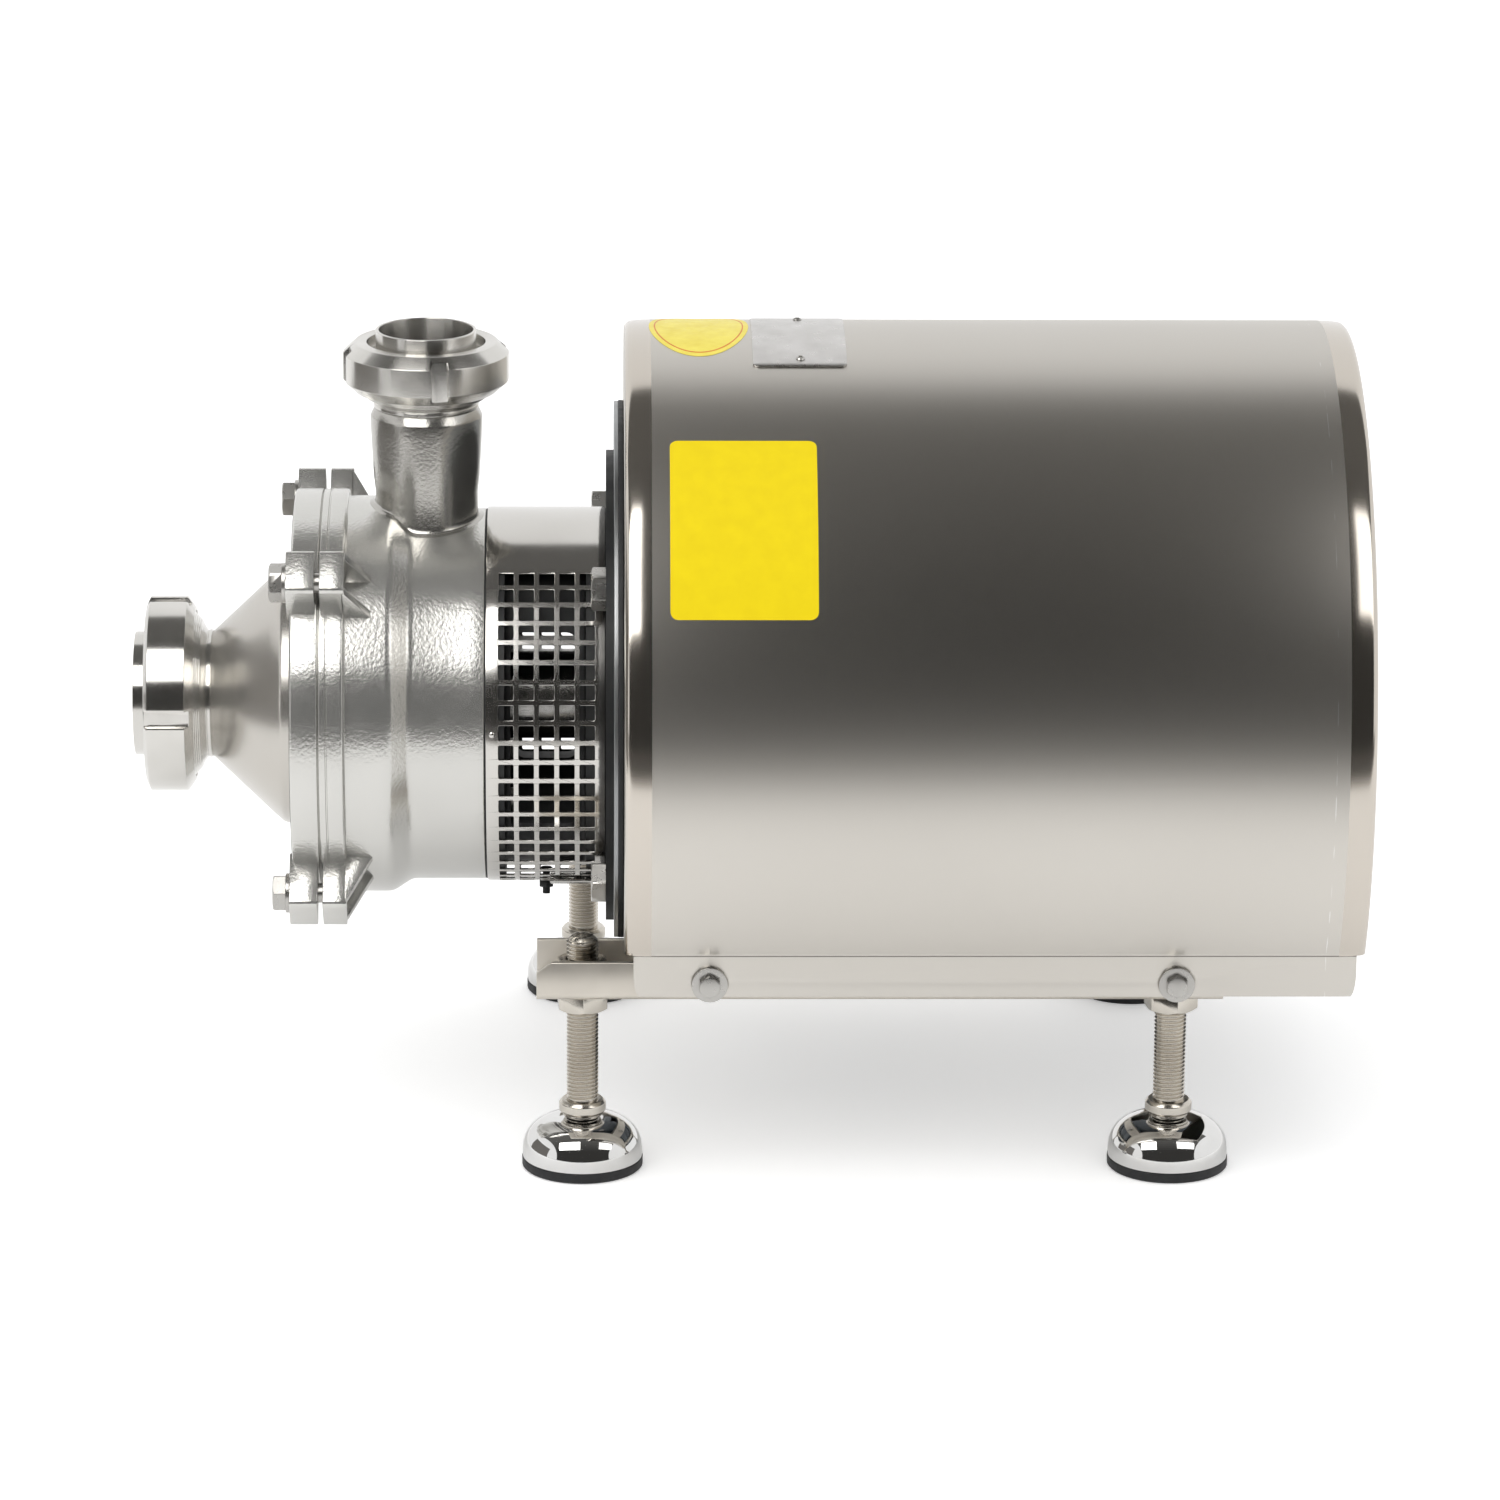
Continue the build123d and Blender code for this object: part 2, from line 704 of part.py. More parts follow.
def pump_shaft():
    socket_end = motor_shaft_front - stub_wall
    body = turned_x([
        (impeller_hub_front - cap_nut_hexagon, 0, 0),
        (impeller_hub_front - cap_nut_hexagon, cap_nut_bore_radius - 1, 0),
        (impeller_hub_front - cap_nut_hexagon + 1, cap_nut_bore_radius, 0),
        (impeller_hub_front, cap_nut_bore_radius, 0),
        (impeller_hub_front, impeller_seat_radius, 0),
        (impeller_hub_rear, impeller_seat_radius, 0),
        (impeller_hub_rear, seal_seat_radius, 0),
        (stub_hub_start - 4, seal_seat_radius, 0),
        (stub_hub_start - 4, stub_hub_radius - 3, 0),
        (stub_hub_start, stub_hub_radius, 0),
        (stub_hub_end, stub_hub_radius, 1.5),
        (stub_hub_end, 0, 0),
    ])
    socket = disc_x(socket_end, stub_hub_end + 1, shaft_end_radius + running_gap)
    motor_keyway = block((socket_end, stub_hub_end + 1),
                         (-key_width / 2 - seat_gap, key_width / 2 + seat_gap),
                         (0, shaft_end_radius + key_reach + seat_gap))
    impeller_keyway = block((key_middle - impeller_key_length / 2 - seat_gap,
                             key_middle + impeller_key_length / 2 + seat_gap),
                            (-impeller_key_width / 2 - seat_gap, impeller_key_width / 2 + seat_gap),
                            (impeller_seat_radius - impeller_key_width / 2 - seat_gap,
                             impeller_seat_radius + 1))
    return body - socket - motor_keyway - impeller_keyway


parts["pump_shaft"] = pump_shaft()
spring_start = impeller_hub_rear + seat_gap
rotary_start = spring_start + seal_spring_length + seat_gap
rotary_end = rotary_start + seal_rotary_length
parts["seal_rotary_ring"] = ring_x(
    rotary_start, rotary_end, seal_rotary_radius, seal_seat_radius + running_gap)
stationary_end = casing_length - seal_lip
parts["seal_stationary_ring"] = ring_x(stationary_end - seal_stationary_length, stationary_end,
                                       seal_stationary_radius, seal_seat_radius + 1.5)


def seal_spring():
    """Coil spring between the impeller hub and the rotary ring."""
    coil_radius = (seal_rotary_radius + seal_seat_radius) / 2 + 0.4
    rise = seal_spring_length - seal_spring_wire
    path = Helix(rise / seal_spring_turns, rise, coil_radius)
    section = Plane(path @ 0, z_dir=path % 0) * RegularPolygon(seal_spring_wire / 2, 8)
    coil = sweep(section, path=path, is_frenet=True)
    return Pos(spring_start + seal_spring_wire / 2, 0, 0) * Rot(0, 90, 0) * coil


parts["seal_spring"] = seal_spring()


# Lantern, its bolts and the mesh guard round it

def lantern():
    guard_seat = guard_radius - guard_sheet - seat_gap
    tube_inside = lantern_tube_radius - lantern_tube_wall
    flange_end = lantern_start + lantern_flange
    boss_start = lantern_rear_face - adapter_flange_thickness - lantern_rear_boss
    body = turned_x([
        (lantern_start, lantern_bore_radius, 0),
        (lantern_start, guard_seat, 0),
        (flange_end, guard_seat, 0),
        (flange_end, lantern_tube_radius, 3),
        (boss_start, lantern_tube_radius, 3),
        (boss_start, guard_seat, 0),
        (lantern_rear_face - adapter_flange_thickness, guard_seat, 0),
        (lantern_rear_face - adapter_flange_thickness, adapter_flange_radius, 0),
        (lantern_rear_face, adapter_flange_radius, 0),
        (lantern_rear_face, spigot_radius + seat_gap, 0),
        (lantern_rear_face - spigot_length - free_gap, spigot_radius + seat_gap, 0),
        (lantern_rear_face - spigot_length - free_gap, tube_inside, 0),
        (flange_end, tube_inside, 6),
        (flange_end, lantern_bore_radius, 0),
    ])
    window_start = flange_end + lantern_window_setback
    window = block((window_start, window_start + lantern_window_length), (-guard_radius, guard_radius),
                   (-lantern_window_height / 2, lantern_window_height / 2))
    window = fillet(window.edges().filter_by(Axis.Y), lantern_window_round)
    bolt_holes = [facing_front(lantern_rear_face + 1, adapter_bolt_circle, angle)
                  * upright(m12_radius + seat_gap, 0, adapter_flange_thickness + 2) for angle in diagonals]
    inner_holes = [facing_front(flange_end + 1, lantern_bolt_circle, angle)
                   * upright(m8_radius + seat_gap, 0, lantern_flange + 2) for angle in diagonals]
    drilled = body - window - bolt_holes - inner_holes
    flange_front = lantern_rear_face - adapter_flange_thickness
    return chord_cut(drilled, flange_front, lantern_rear_face, adapter_flange_radius, guard_radius)


parts["lantern"] = lantern()
parts["lantern_bolts"] = Compound([
    solid for angle in diagonals for solid in (
        Pos(lantern_start + lantern_flange, lantern_bolt_circle * cos(radians(angle)),
            lantern_bolt_circle * sin(radians(angle))) * Rot(angle, 0, 0) * Rot(0, 90, 0)
        * hex_bolt(m8_flats, m8_head, m8_radius, lantern_bolt_length)).solids()])


def guard():
    """Bent sheet with rows of square holes round its sides and bottom."""
    row_angle = degrees(guard_pitch / guard_radius)
    rows = int((360 - 2 * guard_solid_half_angle) / row_angle)
    first_angle = 270 - (rows - 1) / 2 * row_angle
    sheet = ring_x(guard_start, guard_end, guard_radius, guard_radius - guard_sheet)
    cutters = []
    for column in range(guard_columns):
        x = guard_start + guard_first_column + guard_pitch * column
        hole = block((x, x + guard_hole), (guard_radius - guard_sheet - 2, guard_radius + 2),
                     (-guard_hole / 2, guard_hole / 2))
        cutters += [Rot(first_angle + row_angle * row, 0, 0) * hole for row in range(rows)]
    return sheet - cutters


parts["mesh_guard"] = guard()


# Flange bolts, front plate and its rubber rim

flange_bolt_head = lantern_rear_face - adapter_flange_thickness
flange_bolt_length = adapter_flange_thickness + plate_thickness + motor_flange_thickness + m12_nut + bolt_end
flange_bolt = hex_bolt(m12_flats, m12_head, m12_radius, flange_bolt_length)
flange_nut_place = Pos(0, 0, -flange_bolt_length + bolt_end) * hex_nut(
    m12_flats, m12_nut, m12_radius + seat_gap)
parts["flange_bolts"] = Compound([
    solid for angle in diagonals
    for piece in (flange_bolt, flange_nut_place)
    for solid in (facing_front(flange_bolt_head, adapter_bolt_circle, angle) * piece).solids()])


def front_plate():
    disc = ring_x(plate_front, motor_face, plate_radius, spigot_radius + seat_gap)
    holes = [facing_front(motor_face + 1, adapter_bolt_circle, angle)
             * upright(m12_radius + seat_gap, 0, plate_thickness + 2) for angle in diagonals]
    return chord_cut(disc - holes, plate_front, motor_face, plate_radius, plate_chord)


parts["front_plate"] = front_plate()
rim = ring_x(motor_face, shroud_front, plate_radius + 0.5, plate_radius - rim_width)
parts["rim_rubber"] = chord_cut(rim,
                                motor_face, shroud_front, plate_radius + 1, plate_chord)


# Motor

frame_start = motor_face + motor_flange_thickness + motor_shield_length - motor_shield_wall
frame_end = frame_start + motor_body_length
frame_bore = motor_body_radius - motor_body_wall
front_bearing_start = motor_face + motor_flange_thickness - 4
rear_shield_end = frame_end + motor_shield_wall + 6
rear_bearing_start = rear_shield_end - bearing_width - 3
terminal_box_bottom = motor_body_radius + terminal_box_seat
terminal_box_top = terminal_box_bottom + terminal_box_height
terminal_box_span = (frame_start + terminal_box_start, frame_start + terminal_box_start + terminal_box_length)
terminal_box_sides = (-terminal_box_width / 2, terminal_box_width / 2)


def motor_frame():
    body = ring_x(frame_start, frame_end, motor_body_radius, frame_bore)
    fin = block((frame_start + motor_fin_setback, frame_end - motor_fin_setback),
                (motor_body_radius - 2, motor_body_radius + motor_fin_height),
                (-motor_fin_thickness / 2, motor_fin_thickness / 2))
    pitch = 360 / motor_fin_count
    angles = [pitch * (index + 0.5) for index in range(motor_fin_count)]
    box_side = degrees(asin((terminal_box_width / 2 + motor_fin_thickness) / motor_body_radius))
    foot_side = degrees(atan2((motor_foot_gauge + motor_foot_width) / 2,
                              motor_axis_height - motor_foot_thickness))
    fins = [Rot(angle, 0, 0) * fin for angle in angles
            if abs(angle - 90) > box_side and not 270 - foot_side < angle < 270 + foot_side]
    first_hole = motor_face + motor_foot_setback
    feet_start = first_hole - motor_foot_end
    feet_end = first_hole + motor_foot_pitch + motor_foot_end
    feet = []
    for side in (-1, 1):
        centre = side * motor_foot_gauge / 2
        foot = block((feet_start, feet_end), (centre - motor_foot_width / 2, centre + motor_foot_width / 2),
                     (-motor_axis_height, -motor_axis_height + motor_foot_thickness))
        inside = centre - side * (motor_foot_width / 2 - motor_foot_web / 2)
        web = block((feet_start, feet_end), (inside - motor_foot_web / 2, inside + motor_foot_web / 2),
                    (-motor_axis_height, motor_foot_web_height - motor_axis_height))
        feet += [foot, web]
    feet_solid = feet[0] + feet[1] + feet[2] + feet[3]
    feet_solid = feet_solid - disc_x(frame_start, frame_end, motor_body_radius - 3)
    holes = [Pos(first_hole + step, side * motor_foot_gauge / 2, 0)
             * upright(m10_radius + 1, -motor_axis_height - 1, -motor_axis_height + motor_foot_thickness + 1)
             for step in (0, motor_foot_pitch) for side in (-1, 1)]
    box_base = block(terminal_box_span, terminal_box_sides, (motor_body_radius * 0.88, terminal_box_bottom))
    box_base = box_base - disc_x(frame_start, frame_end, motor_body_radius - 3)
    return body + fins + feet_solid + box_base - holes


parts["motor_frame"] = motor_frame()


shield_neck_radius = adapter_bolt_circle - m12_flats / 2 / cos(radians(30)) - seat_gap


def motor_front_shield():
    face = motor_face + motor_flange_thickness
    body = turned_x([
        (motor_face - plate_thickness - spigot_length, shaft_end_radius + 8, 0),
        (motor_face - plate_thickness - spigot_length, spigot_radius, 0),
        (motor_face, spigot_radius, 0),
        (motor_face, adapter_flange_radius, 0),
        (face, adapter_flange_radius, 0),
        (face, shield_neck_radius, 0),
        (frame_start - motor_shield_wall / 2, shield_neck_radius, 0),
        (frame_start - motor_shield_wall / 2, motor_body_radius + motor_shield_lip, 0),
        (frame_start, motor_body_radius + motor_shield_lip, 0),
        (frame_start, frame_bore - seat_gap, 0),
        (frame_start + 5, frame_bore - seat_gap, 0),
        (frame_start + 5, frame_bore - 8, 0),
        (face + 6, frame_bore - 16, 5),
        (face + 4, bearing_outer_radius + 8, 0),
        (front_bearing_start + bearing_width, bearing_outer_radius + 8, 0),
        (front_bearing_start + bearing_width, bearing_outer_radius + seat_gap, 0),
        (front_bearing_start, bearing_outer_radius + seat_gap, 0),
        (front_bearing_start, shaft_end_radius + 8, 0),
    ])
    holes = [facing_front(motor_face + motor_flange_thickness + 1, adapter_bolt_circle, angle)
             * upright(m12_radius + seat_gap, 0, motor_flange_thickness + 2) for angle in diagonals]
    return body - holes


parts["motor_front_shield"] = motor_front_shield()
parts["motor_rear_shield"] = turned_x([
    (frame_end - 5, frame_bore - seat_gap, 0),
    (frame_end, frame_bore - seat_gap, 0),
    (frame_end, motor_body_radius, 0),
    (frame_end + motor_shield_wall, motor_body_radius, 3),
    (rear_shield_end, bearing_outer_radius + 12, 4),
    (rear_shield_end, shaft_end_radius + 2, 0),
    (rear_bearing_start + bearing_width, shaft_end_radius + 2, 0),
    (rear_bearing_start + bearing_width, bearing_outer_radius + seat_gap, 0),
    (rear_bearing_start, bearing_outer_radius + seat_gap, 0),
    (rear_bearing_start, bearing_outer_radius + 8, 0),
    (frame_end + 1, bearing_outer_radius + 8, 3),
    (frame_end + 1, frame_bore - 8, 0),
    (frame_end - 5, frame_bore - 8, 0),
])
parts["bearings"] = Compound([
    ring_x(start, start + bearing_width, bearing_outer_radius, bearing_bore_radius + running_gap).solid()
    for start in (front_bearing_start, rear_bearing_start)])

stator_start = frame_start + (motor_body_length - stator_length) / 2
stator_inner = frame_bore - seat_gap - stator_thickness
windings = ring_x(stator_start - winding_overhang, stator_start + stator_length + winding_overhang,
                  frame_bore - winding_outer_gap, stator_inner + winding_inner_gap)
parts["stator"] = windings + ring_x(
    stator_start, stator_start + stator_length, frame_bore - seat_gap, stator_inner)
rotor_start = stator_start + (stator_length - rotor_length) / 2
parts["rotor"] = ring_x(rotor_start, rotor_start + rotor_length, stator_inner - air_gap,
                        rotor_bore_radius + seat_gap)
fan_start = rear_shield_end + 6
fan_end = fan_start + fan_length


def motor_shaft():
    body = turned_x([
        (motor_shaft_front, 0, 0),
        (motor_shaft_front, shaft_end_radius - 1, 0),
        (motor_shaft_front + 1, shaft_end_radius, 0),
        (motor_face + 2, shaft_end_radius, 0),
        (motor_face + 2, bearing_bore_radius, 0),
        (front_bearing_start + bearing_width, bearing_bore_radius, 0),
        (front_bearing_start + bearing_width, rotor_bore_radius, 0),
        (rear_bearing_start, rotor_bore_radius, 0),
        (rear_bearing_start, bearing_bore_radius, 0),
        (rear_bearing_start + bearing_width, bearing_bore_radius, 0),
        (rear_bearing_start + bearing_width, shaft_end_radius - 1, 0),
        (fan_end + 3, shaft_end_radius - 1, 0),
        (fan_end + 3, 0, 0),
    ])
    keyway = block((key_start - seat_gap, key_start + key_length + seat_gap),
                   (-key_width / 2 - seat_gap, key_width / 2 + seat_gap),
                   (shaft_end_radius - key_reach - seat_gap, shaft_end_radius + 1))
    return body - keyway


parts["motor_shaft"] = motor_shaft()


def fan():
    hub = ring_x(fan_start, fan_end, fan_hub_radius, shaft_end_radius - 1 + seat_gap)
    disc = ring_x(fan_start, fan_start + fan_sheet, fan_radius * fan_disc_share, fan_hub_radius - 2)
    blade = block((fan_start, fan_end), (fan_hub_radius - 2, fan_radius), (-fan_sheet / 2, fan_sheet / 2))
    return hub + disc + [Rot(360 / fan_blades * index, 0, 0) * blade for index in range(fan_blades)]


parts["fan"] = fan()


def fan_cover():
    start = frame_end - fan_cover_overlap + motor_shield_wall
    end = start + fan_cover_length
    shell = ring_x(start, end, fan_cover_radius, fan_cover_radius - fan_cover_sheet) + ring_x(
        end - fan_cover_sheet, end, fan_cover_radius, fan_cover_hole_radius)
    collar = ring_x(start, start + fan_cover_collar, fan_cover_radius, motor_body_radius + seat_gap)
    slot = block((end - fan_cover_collar, end + 1),
                 (fan_cover_slot_start, fan_cover_radius - fan_cover_slot_margin),
                 (-fan_cover_slot_width / 2, fan_cover_slot_width / 2))
    slots = [Rot(360 / fan_cover_slots * index, 0, 0) * slot for index in range(fan_cover_slots)]
    return shell + collar - slots


parts["fan_cover"] = fan_cover()


def terminal_box():
    outer = block(terminal_box_span, terminal_box_sides, (terminal_box_bottom, terminal_box_top))
    outer = fillet(outer.edges().filter_by(Axis.Z), terminal_box_round)
    inner = block((terminal_box_span[0] + terminal_box_wall, terminal_box_span[1] - terminal_box_wall),
                  (terminal_box_sides[0] + terminal_box_wall, terminal_box_sides[1] - terminal_box_wall),
                  (terminal_box_bottom + terminal_box_wall, terminal_box_top + 1))
    gland_place = Pos(terminal_box_span[0] + terminal_box_length * gland_place_share, terminal_box_width / 2,
                      (terminal_box_bottom + terminal_box_top) / 2) * Rot(-90, 0, 0)
    hole = upright(gland_radius - gland_wall, -terminal_box_wall - 2, gland_length + 1)
    gland = upright(gland_radius, -terminal_box_wall / 2, gland_length)
    return outer - inner + gland_place * gland - gland_place * hole


parts["terminal_box"] = terminal_box()
terminal_lid_top = terminal_box_top + terminal_lid_thickness
lid = block(terminal_box_span, terminal_box_sides, (terminal_box_top, terminal_lid_top))
lid = fillet(lid.edges().filter_by(Axis.Z), terminal_box_round)
parts["terminal_box_lid"] = fillet(lid.faces().sort_by(Axis.Z)[-1].edges(), terminal_lid_round)


# Base rails and cross bars

def rail(side):
    """Channel bar, open at the top, with the front top corner of its outer wall cut off."""
    outer = block((0, rail_length), (-rail_width / 2, rail_width / 2), (-rail_height, 0))
    inner = block((-1, rail_length + 1), (-rail_width / 2 + rail_sheet, rail_width / 2 - rail_sheet),
                  (-rail_height + rail_sheet, 1))
    corner_face = make_face(Polyline((-1, 1), (rail_corner_length, 1), (rail_corner_length, 0),
                                     (0, -rail_corner_height), (-1, -rail_corner_height), close=True))
    corner = Pos(0, rail_width / 2 + 1, 0) * extrude(Plane.XZ * corner_face, rail_sheet + 2)
    body = outer - inner - corner
    holes = [Pos(x - rail_start, 0, 0) * upright(stud_radius + free_gap, -rail_height - 1, 1)
             for x in (foot_x_front, foot_x_rear)]
    taps = [Pos(x - rail_start, rail_width / 2 + 1, rail_top - shroud_bolt_level) * Rot(90, 0, 0)
            * upright(m6_radius + thread_gap, 0, rail_sheet + 2) for x in shroud_bolt_x]
    channel = body - holes - taps
    channel = channel if side > 0 else mirror(channel, Plane.XZ)
    return Pos(rail_start, side * rail_centre, -rail_top) * channel


parts["rail_near"] = rail(-1)
parts["rail_far"] = rail(1)
bar_reach = rail_centre - rail_width / 2
foot_bolt_x = [motor_face + motor_foot_setback + step for step in (0, motor_foot_pitch)]
for name, x in zip(("cross_bar_front", "cross_bar_rear"), foot_bolt_x):
    bar = block((x - cross_bar_width / 2, x + cross_bar_width / 2), (-bar_reach, bar_reach),
                (-motor_axis_height - cross_bar_thickness, -motor_axis_height))
    hole = upright(m10_radius + seat_gap, -motor_axis_height - cross_bar_thickness - 1,
                   -motor_axis_height + 1)
    parts[name] = bar - [Pos(x, side * motor_foot_gauge / 2, 0) * hole for side in (-1, 1)]
foot_bolt_length = motor_foot_thickness + cross_bar_thickness + m10_nut + bolt_end
foot_nut = Pos(0, 0, -motor_foot_thickness - cross_bar_thickness - m10_nut) * hex_nut(
    m10_flats, m10_nut, m10_radius + seat_gap)
foot_bolt_level = -motor_axis_height + motor_foot_thickness
foot_bolt = hex_bolt(m10_flats, m10_head, m10_radius, foot_bolt_length)
parts["motor_foot_bolts"] = Compound([
    solid for x in foot_bolt_x for side in (-1, 1) for piece in (foot_bolt, foot_nut)
    for solid in (Pos(x, side * motor_foot_gauge / 2, foot_bolt_level) * piece).solids()])


# Shroud and its bolts

def shroud_outline(inset, bottom):
    """Cross section of the shroud as a closed outline, seen along the shaft."""
    radius = shroud_radius - inset
    half = shroud_half_width - inset
    bend = shroud_rise - sqrt(radius**2 - half**2)
    top = ThreePointArc((-half, bend), (0, shroud_rise + radius), (half, bend))
    sides = Polyline((half, bend), (half, -bottom), (-half, -bottom), (-half, bend))
    return make_face([top, sides])


def shroud():
    section = Plane.YZ
    drum = Pos(shroud_front, 0, 0) * extrude(section * shroud_outline(0, shroud_tab_bottom), shroud_length)
    drum = fillet(drum.edges().filter_by(GeomType.CIRCLE), shroud_edge_round)
    hollow = Pos(shroud_front + shroud_sheet, 0, 0) * extrude(
        section * shroud_outline(shroud_sheet, shroud_tab_bottom + 1), shroud_length - 2 * shroud_sheet)
    mouth = disc_x(shroud_front - 1, shroud_front + shroud_sheet + 1, shroud_opening_radius)
    inside = shroud_half_width - shroud_sheet
    below = block((shroud_front - 1, shroud_rear + 1), (-inside, inside),
                  (-shroud_tab_bottom - 1, -shroud_wall_bottom))
    shell = drum - hollow - mouth - below
    trims = []
    for start, end in ((shroud_front - 1, shroud_front + shroud_tab_setback),
                       (shroud_rear - shroud_tab_setback, shroud_rear + 1)):
        trims.append(block((start, end), (-shroud_radius, shroud_radius),
                           (-shroud_tab_bottom - 1, bend_height)))
    shell = shell - trims
    corners = [edge for edge in shell.edges().filter_by(Axis.Y)
               if abs(edge.center().Z + shroud_tab_bottom) < 0.01 and abs(edge.center().Y) > inside]
    shell = fillet(corners, shroud_tab_round)
    slots = []
    for x in shroud_bolt_x:
        slots.append(block((x - shroud_slot_width / 2, x + shroud_slot_width / 2),
                           (-shroud_radius, shroud_radius),
                           (-shroud_tab_bottom - 1, -shroud_bolt_level)))
        across = Cylinder(shroud_slot_width / 2, 2 * shroud_radius)
        slots.append(Pos(x, 0, -shroud_bolt_level) * Rot(90, 0, 0) * across)
    keep = block((shroud_front, shroud_rear), (-shroud_half_width + 20, shroud_half_width - 20), (-200, 200))
    return shell - [cut - keep for cut in slots]


parts["shroud"] = shroud()
shroud_bolt = hex_bolt(m6_flats, m6_head, m6_radius, m6_washer_thickness + shroud_sheet + rail_sheet + 1.5)
shroud_washer = upright(m6_washer_radius, -m6_washer_thickness, 0) - upright(
    m6_radius + seat_gap, -m6_washer_thickness - 1, 1)
shroud_bolt_reach = shroud_half_width + m6_washer_thickness


def shroud_bolt_places():
    for side in (-1, 1):
        for x in shroud_bolt_x:
            yield Pos(x, side * shroud_bolt_reach, -shroud_bolt_level) * Rot(-90 * side, 0, 0)


parts["shroud_bolts"] = Compound([
    solid for place in shroud_bolt_places()
    for piece in (shroud_bolt, shroud_washer)
    for solid in (place * piece).solids()])


# Levelling feet, drawn from the floor up

socket_radius = ball_radius + seat_gap


def foot_stud():
    shape = upright(stud_radius, collar_top - 1, stud_top)
    shape = chamfer(shape.edges().sort_by(Axis.Z)[-1], stud_dome, stud_dome)
    shape += upright(collar_radius, collar_top - collar_height, collar_top)
    shape += upright(collar_radius - 2, cup_top + cup_swing_gap, collar_top)
    shape += upright(neck_radius, ball_height, collar_top)
    ball = Pos(0, 0, ball_height) * Sphere(ball_radius)
    return shape + ball


def foot_cup():
    outline = make_face([
        Polyline((cup_radius, pad_thickness), (cup_radius, pad_thickness + 4)),
        EllipticalCenterArc((collar_radius - 2, pad_thickness + 4), cup_radius - collar_radius + 2,
                            cup_top - pad_thickness - 4, start_angle=0, arc_size=90),
        Polyline((collar_radius - 2, cup_top), (0, cup_top), (0, pad_thickness), (cup_radius, pad_thickness)),
    ])
    dome = revolve(Plane.XZ * outline, Axis.Z)
    socket = Pos(0, 0, ball_height) * Sphere(socket_radius)
    throat = upright(neck_radius + 1.6, ball_height, cup_top + 1)
    below = upright(socket_radius, pad_thickness - 1, ball_height)
    recess = upright(cup_radius - cup_wall, pad_thickness - 1, pad_thickness + pad_step + seat_gap)
    return dome - socket - throat - below - recess


def foot_pad():
    disc = upright(pad_radius, 0, pad_thickness) + upright(
        cup_radius - cup_wall - seat_gap, pad_thickness - 1, pad_thickness + pad_step)
    return disc - (Pos(0, 0, ball_height) * Sphere(socket_radius))


def foot_nuts(lower_height):
    rail_bottom_level = axis_height - rail_top - rail_height
    upper = Pos(0, 0, rail_bottom_level + rail_sheet + running_gap) * hex_nut(
        foot_nut_flats, foot_nut_height, stud_radius + thread_gap)
    lower = Pos(0, 0, rail_bottom_level - running_gap) * Rot(180, 0, 0) * hex_nut(
        foot_nut_flats, lower_height, stud_radius + thread_gap)
    return Compound([upper.solid(), lower.solid()])


feet = {
    "front_near": (foot_x_front, -1),
    "front_far": (foot_x_front, 1),
    "rear_near": (foot_x_rear, -1),
    "rear_far": (foot_x_rear, 1),
}
for name, (x, side) in feet.items():
    place = Pos(x, side * rail_centre, floor_level)
    parts[f"foot_stud_{name}"] = place * foot_stud()
    parts[f"foot_cup_{name}"] = place * foot_cup()
    parts[f"foot_pad_{name}"] = place * foot_pad()
    parts[f"foot_nuts_{name}"] = place * foot_nuts(foot_lock_nut_height)


# Writing one file for each piece

os.makedirs("parts", exist_ok=True)
to_origin = Pos(-middle_x, 0, axis_height)
for name, shape in parts.items():
    moved = to_origin * shape
    export_step(moved, f"parts/{name}.step")
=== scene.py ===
import bpy
import json
from math import atan2, ceil, cos, pi, radians, sin, sqrt, tan
from mathutils import Matrix, Vector


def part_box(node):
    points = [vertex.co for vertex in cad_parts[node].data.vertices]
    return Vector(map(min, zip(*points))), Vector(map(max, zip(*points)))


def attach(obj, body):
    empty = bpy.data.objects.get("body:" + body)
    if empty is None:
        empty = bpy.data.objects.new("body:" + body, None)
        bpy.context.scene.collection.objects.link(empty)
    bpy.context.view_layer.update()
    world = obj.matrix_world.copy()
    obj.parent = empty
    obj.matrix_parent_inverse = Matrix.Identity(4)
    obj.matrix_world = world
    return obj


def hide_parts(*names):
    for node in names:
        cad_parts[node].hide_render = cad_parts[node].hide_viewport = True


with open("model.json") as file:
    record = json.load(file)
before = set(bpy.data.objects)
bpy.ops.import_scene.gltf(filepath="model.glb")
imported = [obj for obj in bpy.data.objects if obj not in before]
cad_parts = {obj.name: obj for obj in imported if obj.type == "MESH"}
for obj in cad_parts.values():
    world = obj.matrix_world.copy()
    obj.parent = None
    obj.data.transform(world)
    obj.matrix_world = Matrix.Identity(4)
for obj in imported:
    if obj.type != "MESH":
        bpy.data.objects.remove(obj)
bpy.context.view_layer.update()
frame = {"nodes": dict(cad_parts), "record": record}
cad = frame["nodes"]
bpy.ops.object.select_all(action="DESELECT")  # load leaves the CAD nodes selected
slotOf = {part["node"]: part["material_slot"] for part in frame["record"]["subparts"]}
bodyOf = {node: body for body, group in frame["record"]["behaviour"]["bodies"].items() for node in group}

# Lengths are in mm, counted from the joint of cover and casing on the shaft axis, and at() gives the row frame's metres
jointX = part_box("pump_casing")[0].x
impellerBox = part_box("impeller")
axisZ = (impellerBox[0].z + impellerBox[1].z) / 2


def at(x, y, z):
    return Vector((jointX + x / 1000, y / 1000, axisZ + z / 1000))


def turnAbout(axis, degrees):
    return Matrix.Rotation(radians(degrees), 4, axis)


shaftPlace = Matrix.Translation(at(0, 0, 0)) @ turnAbout("Y", 90)
suctionPlace = Matrix.Translation(at(-56.8, 0, 0)) @ turnAbout("Y", -90)
outletPlace = Matrix.Translation(at(53, 0, 152))
diagonals = (45, 135, 225, 315)


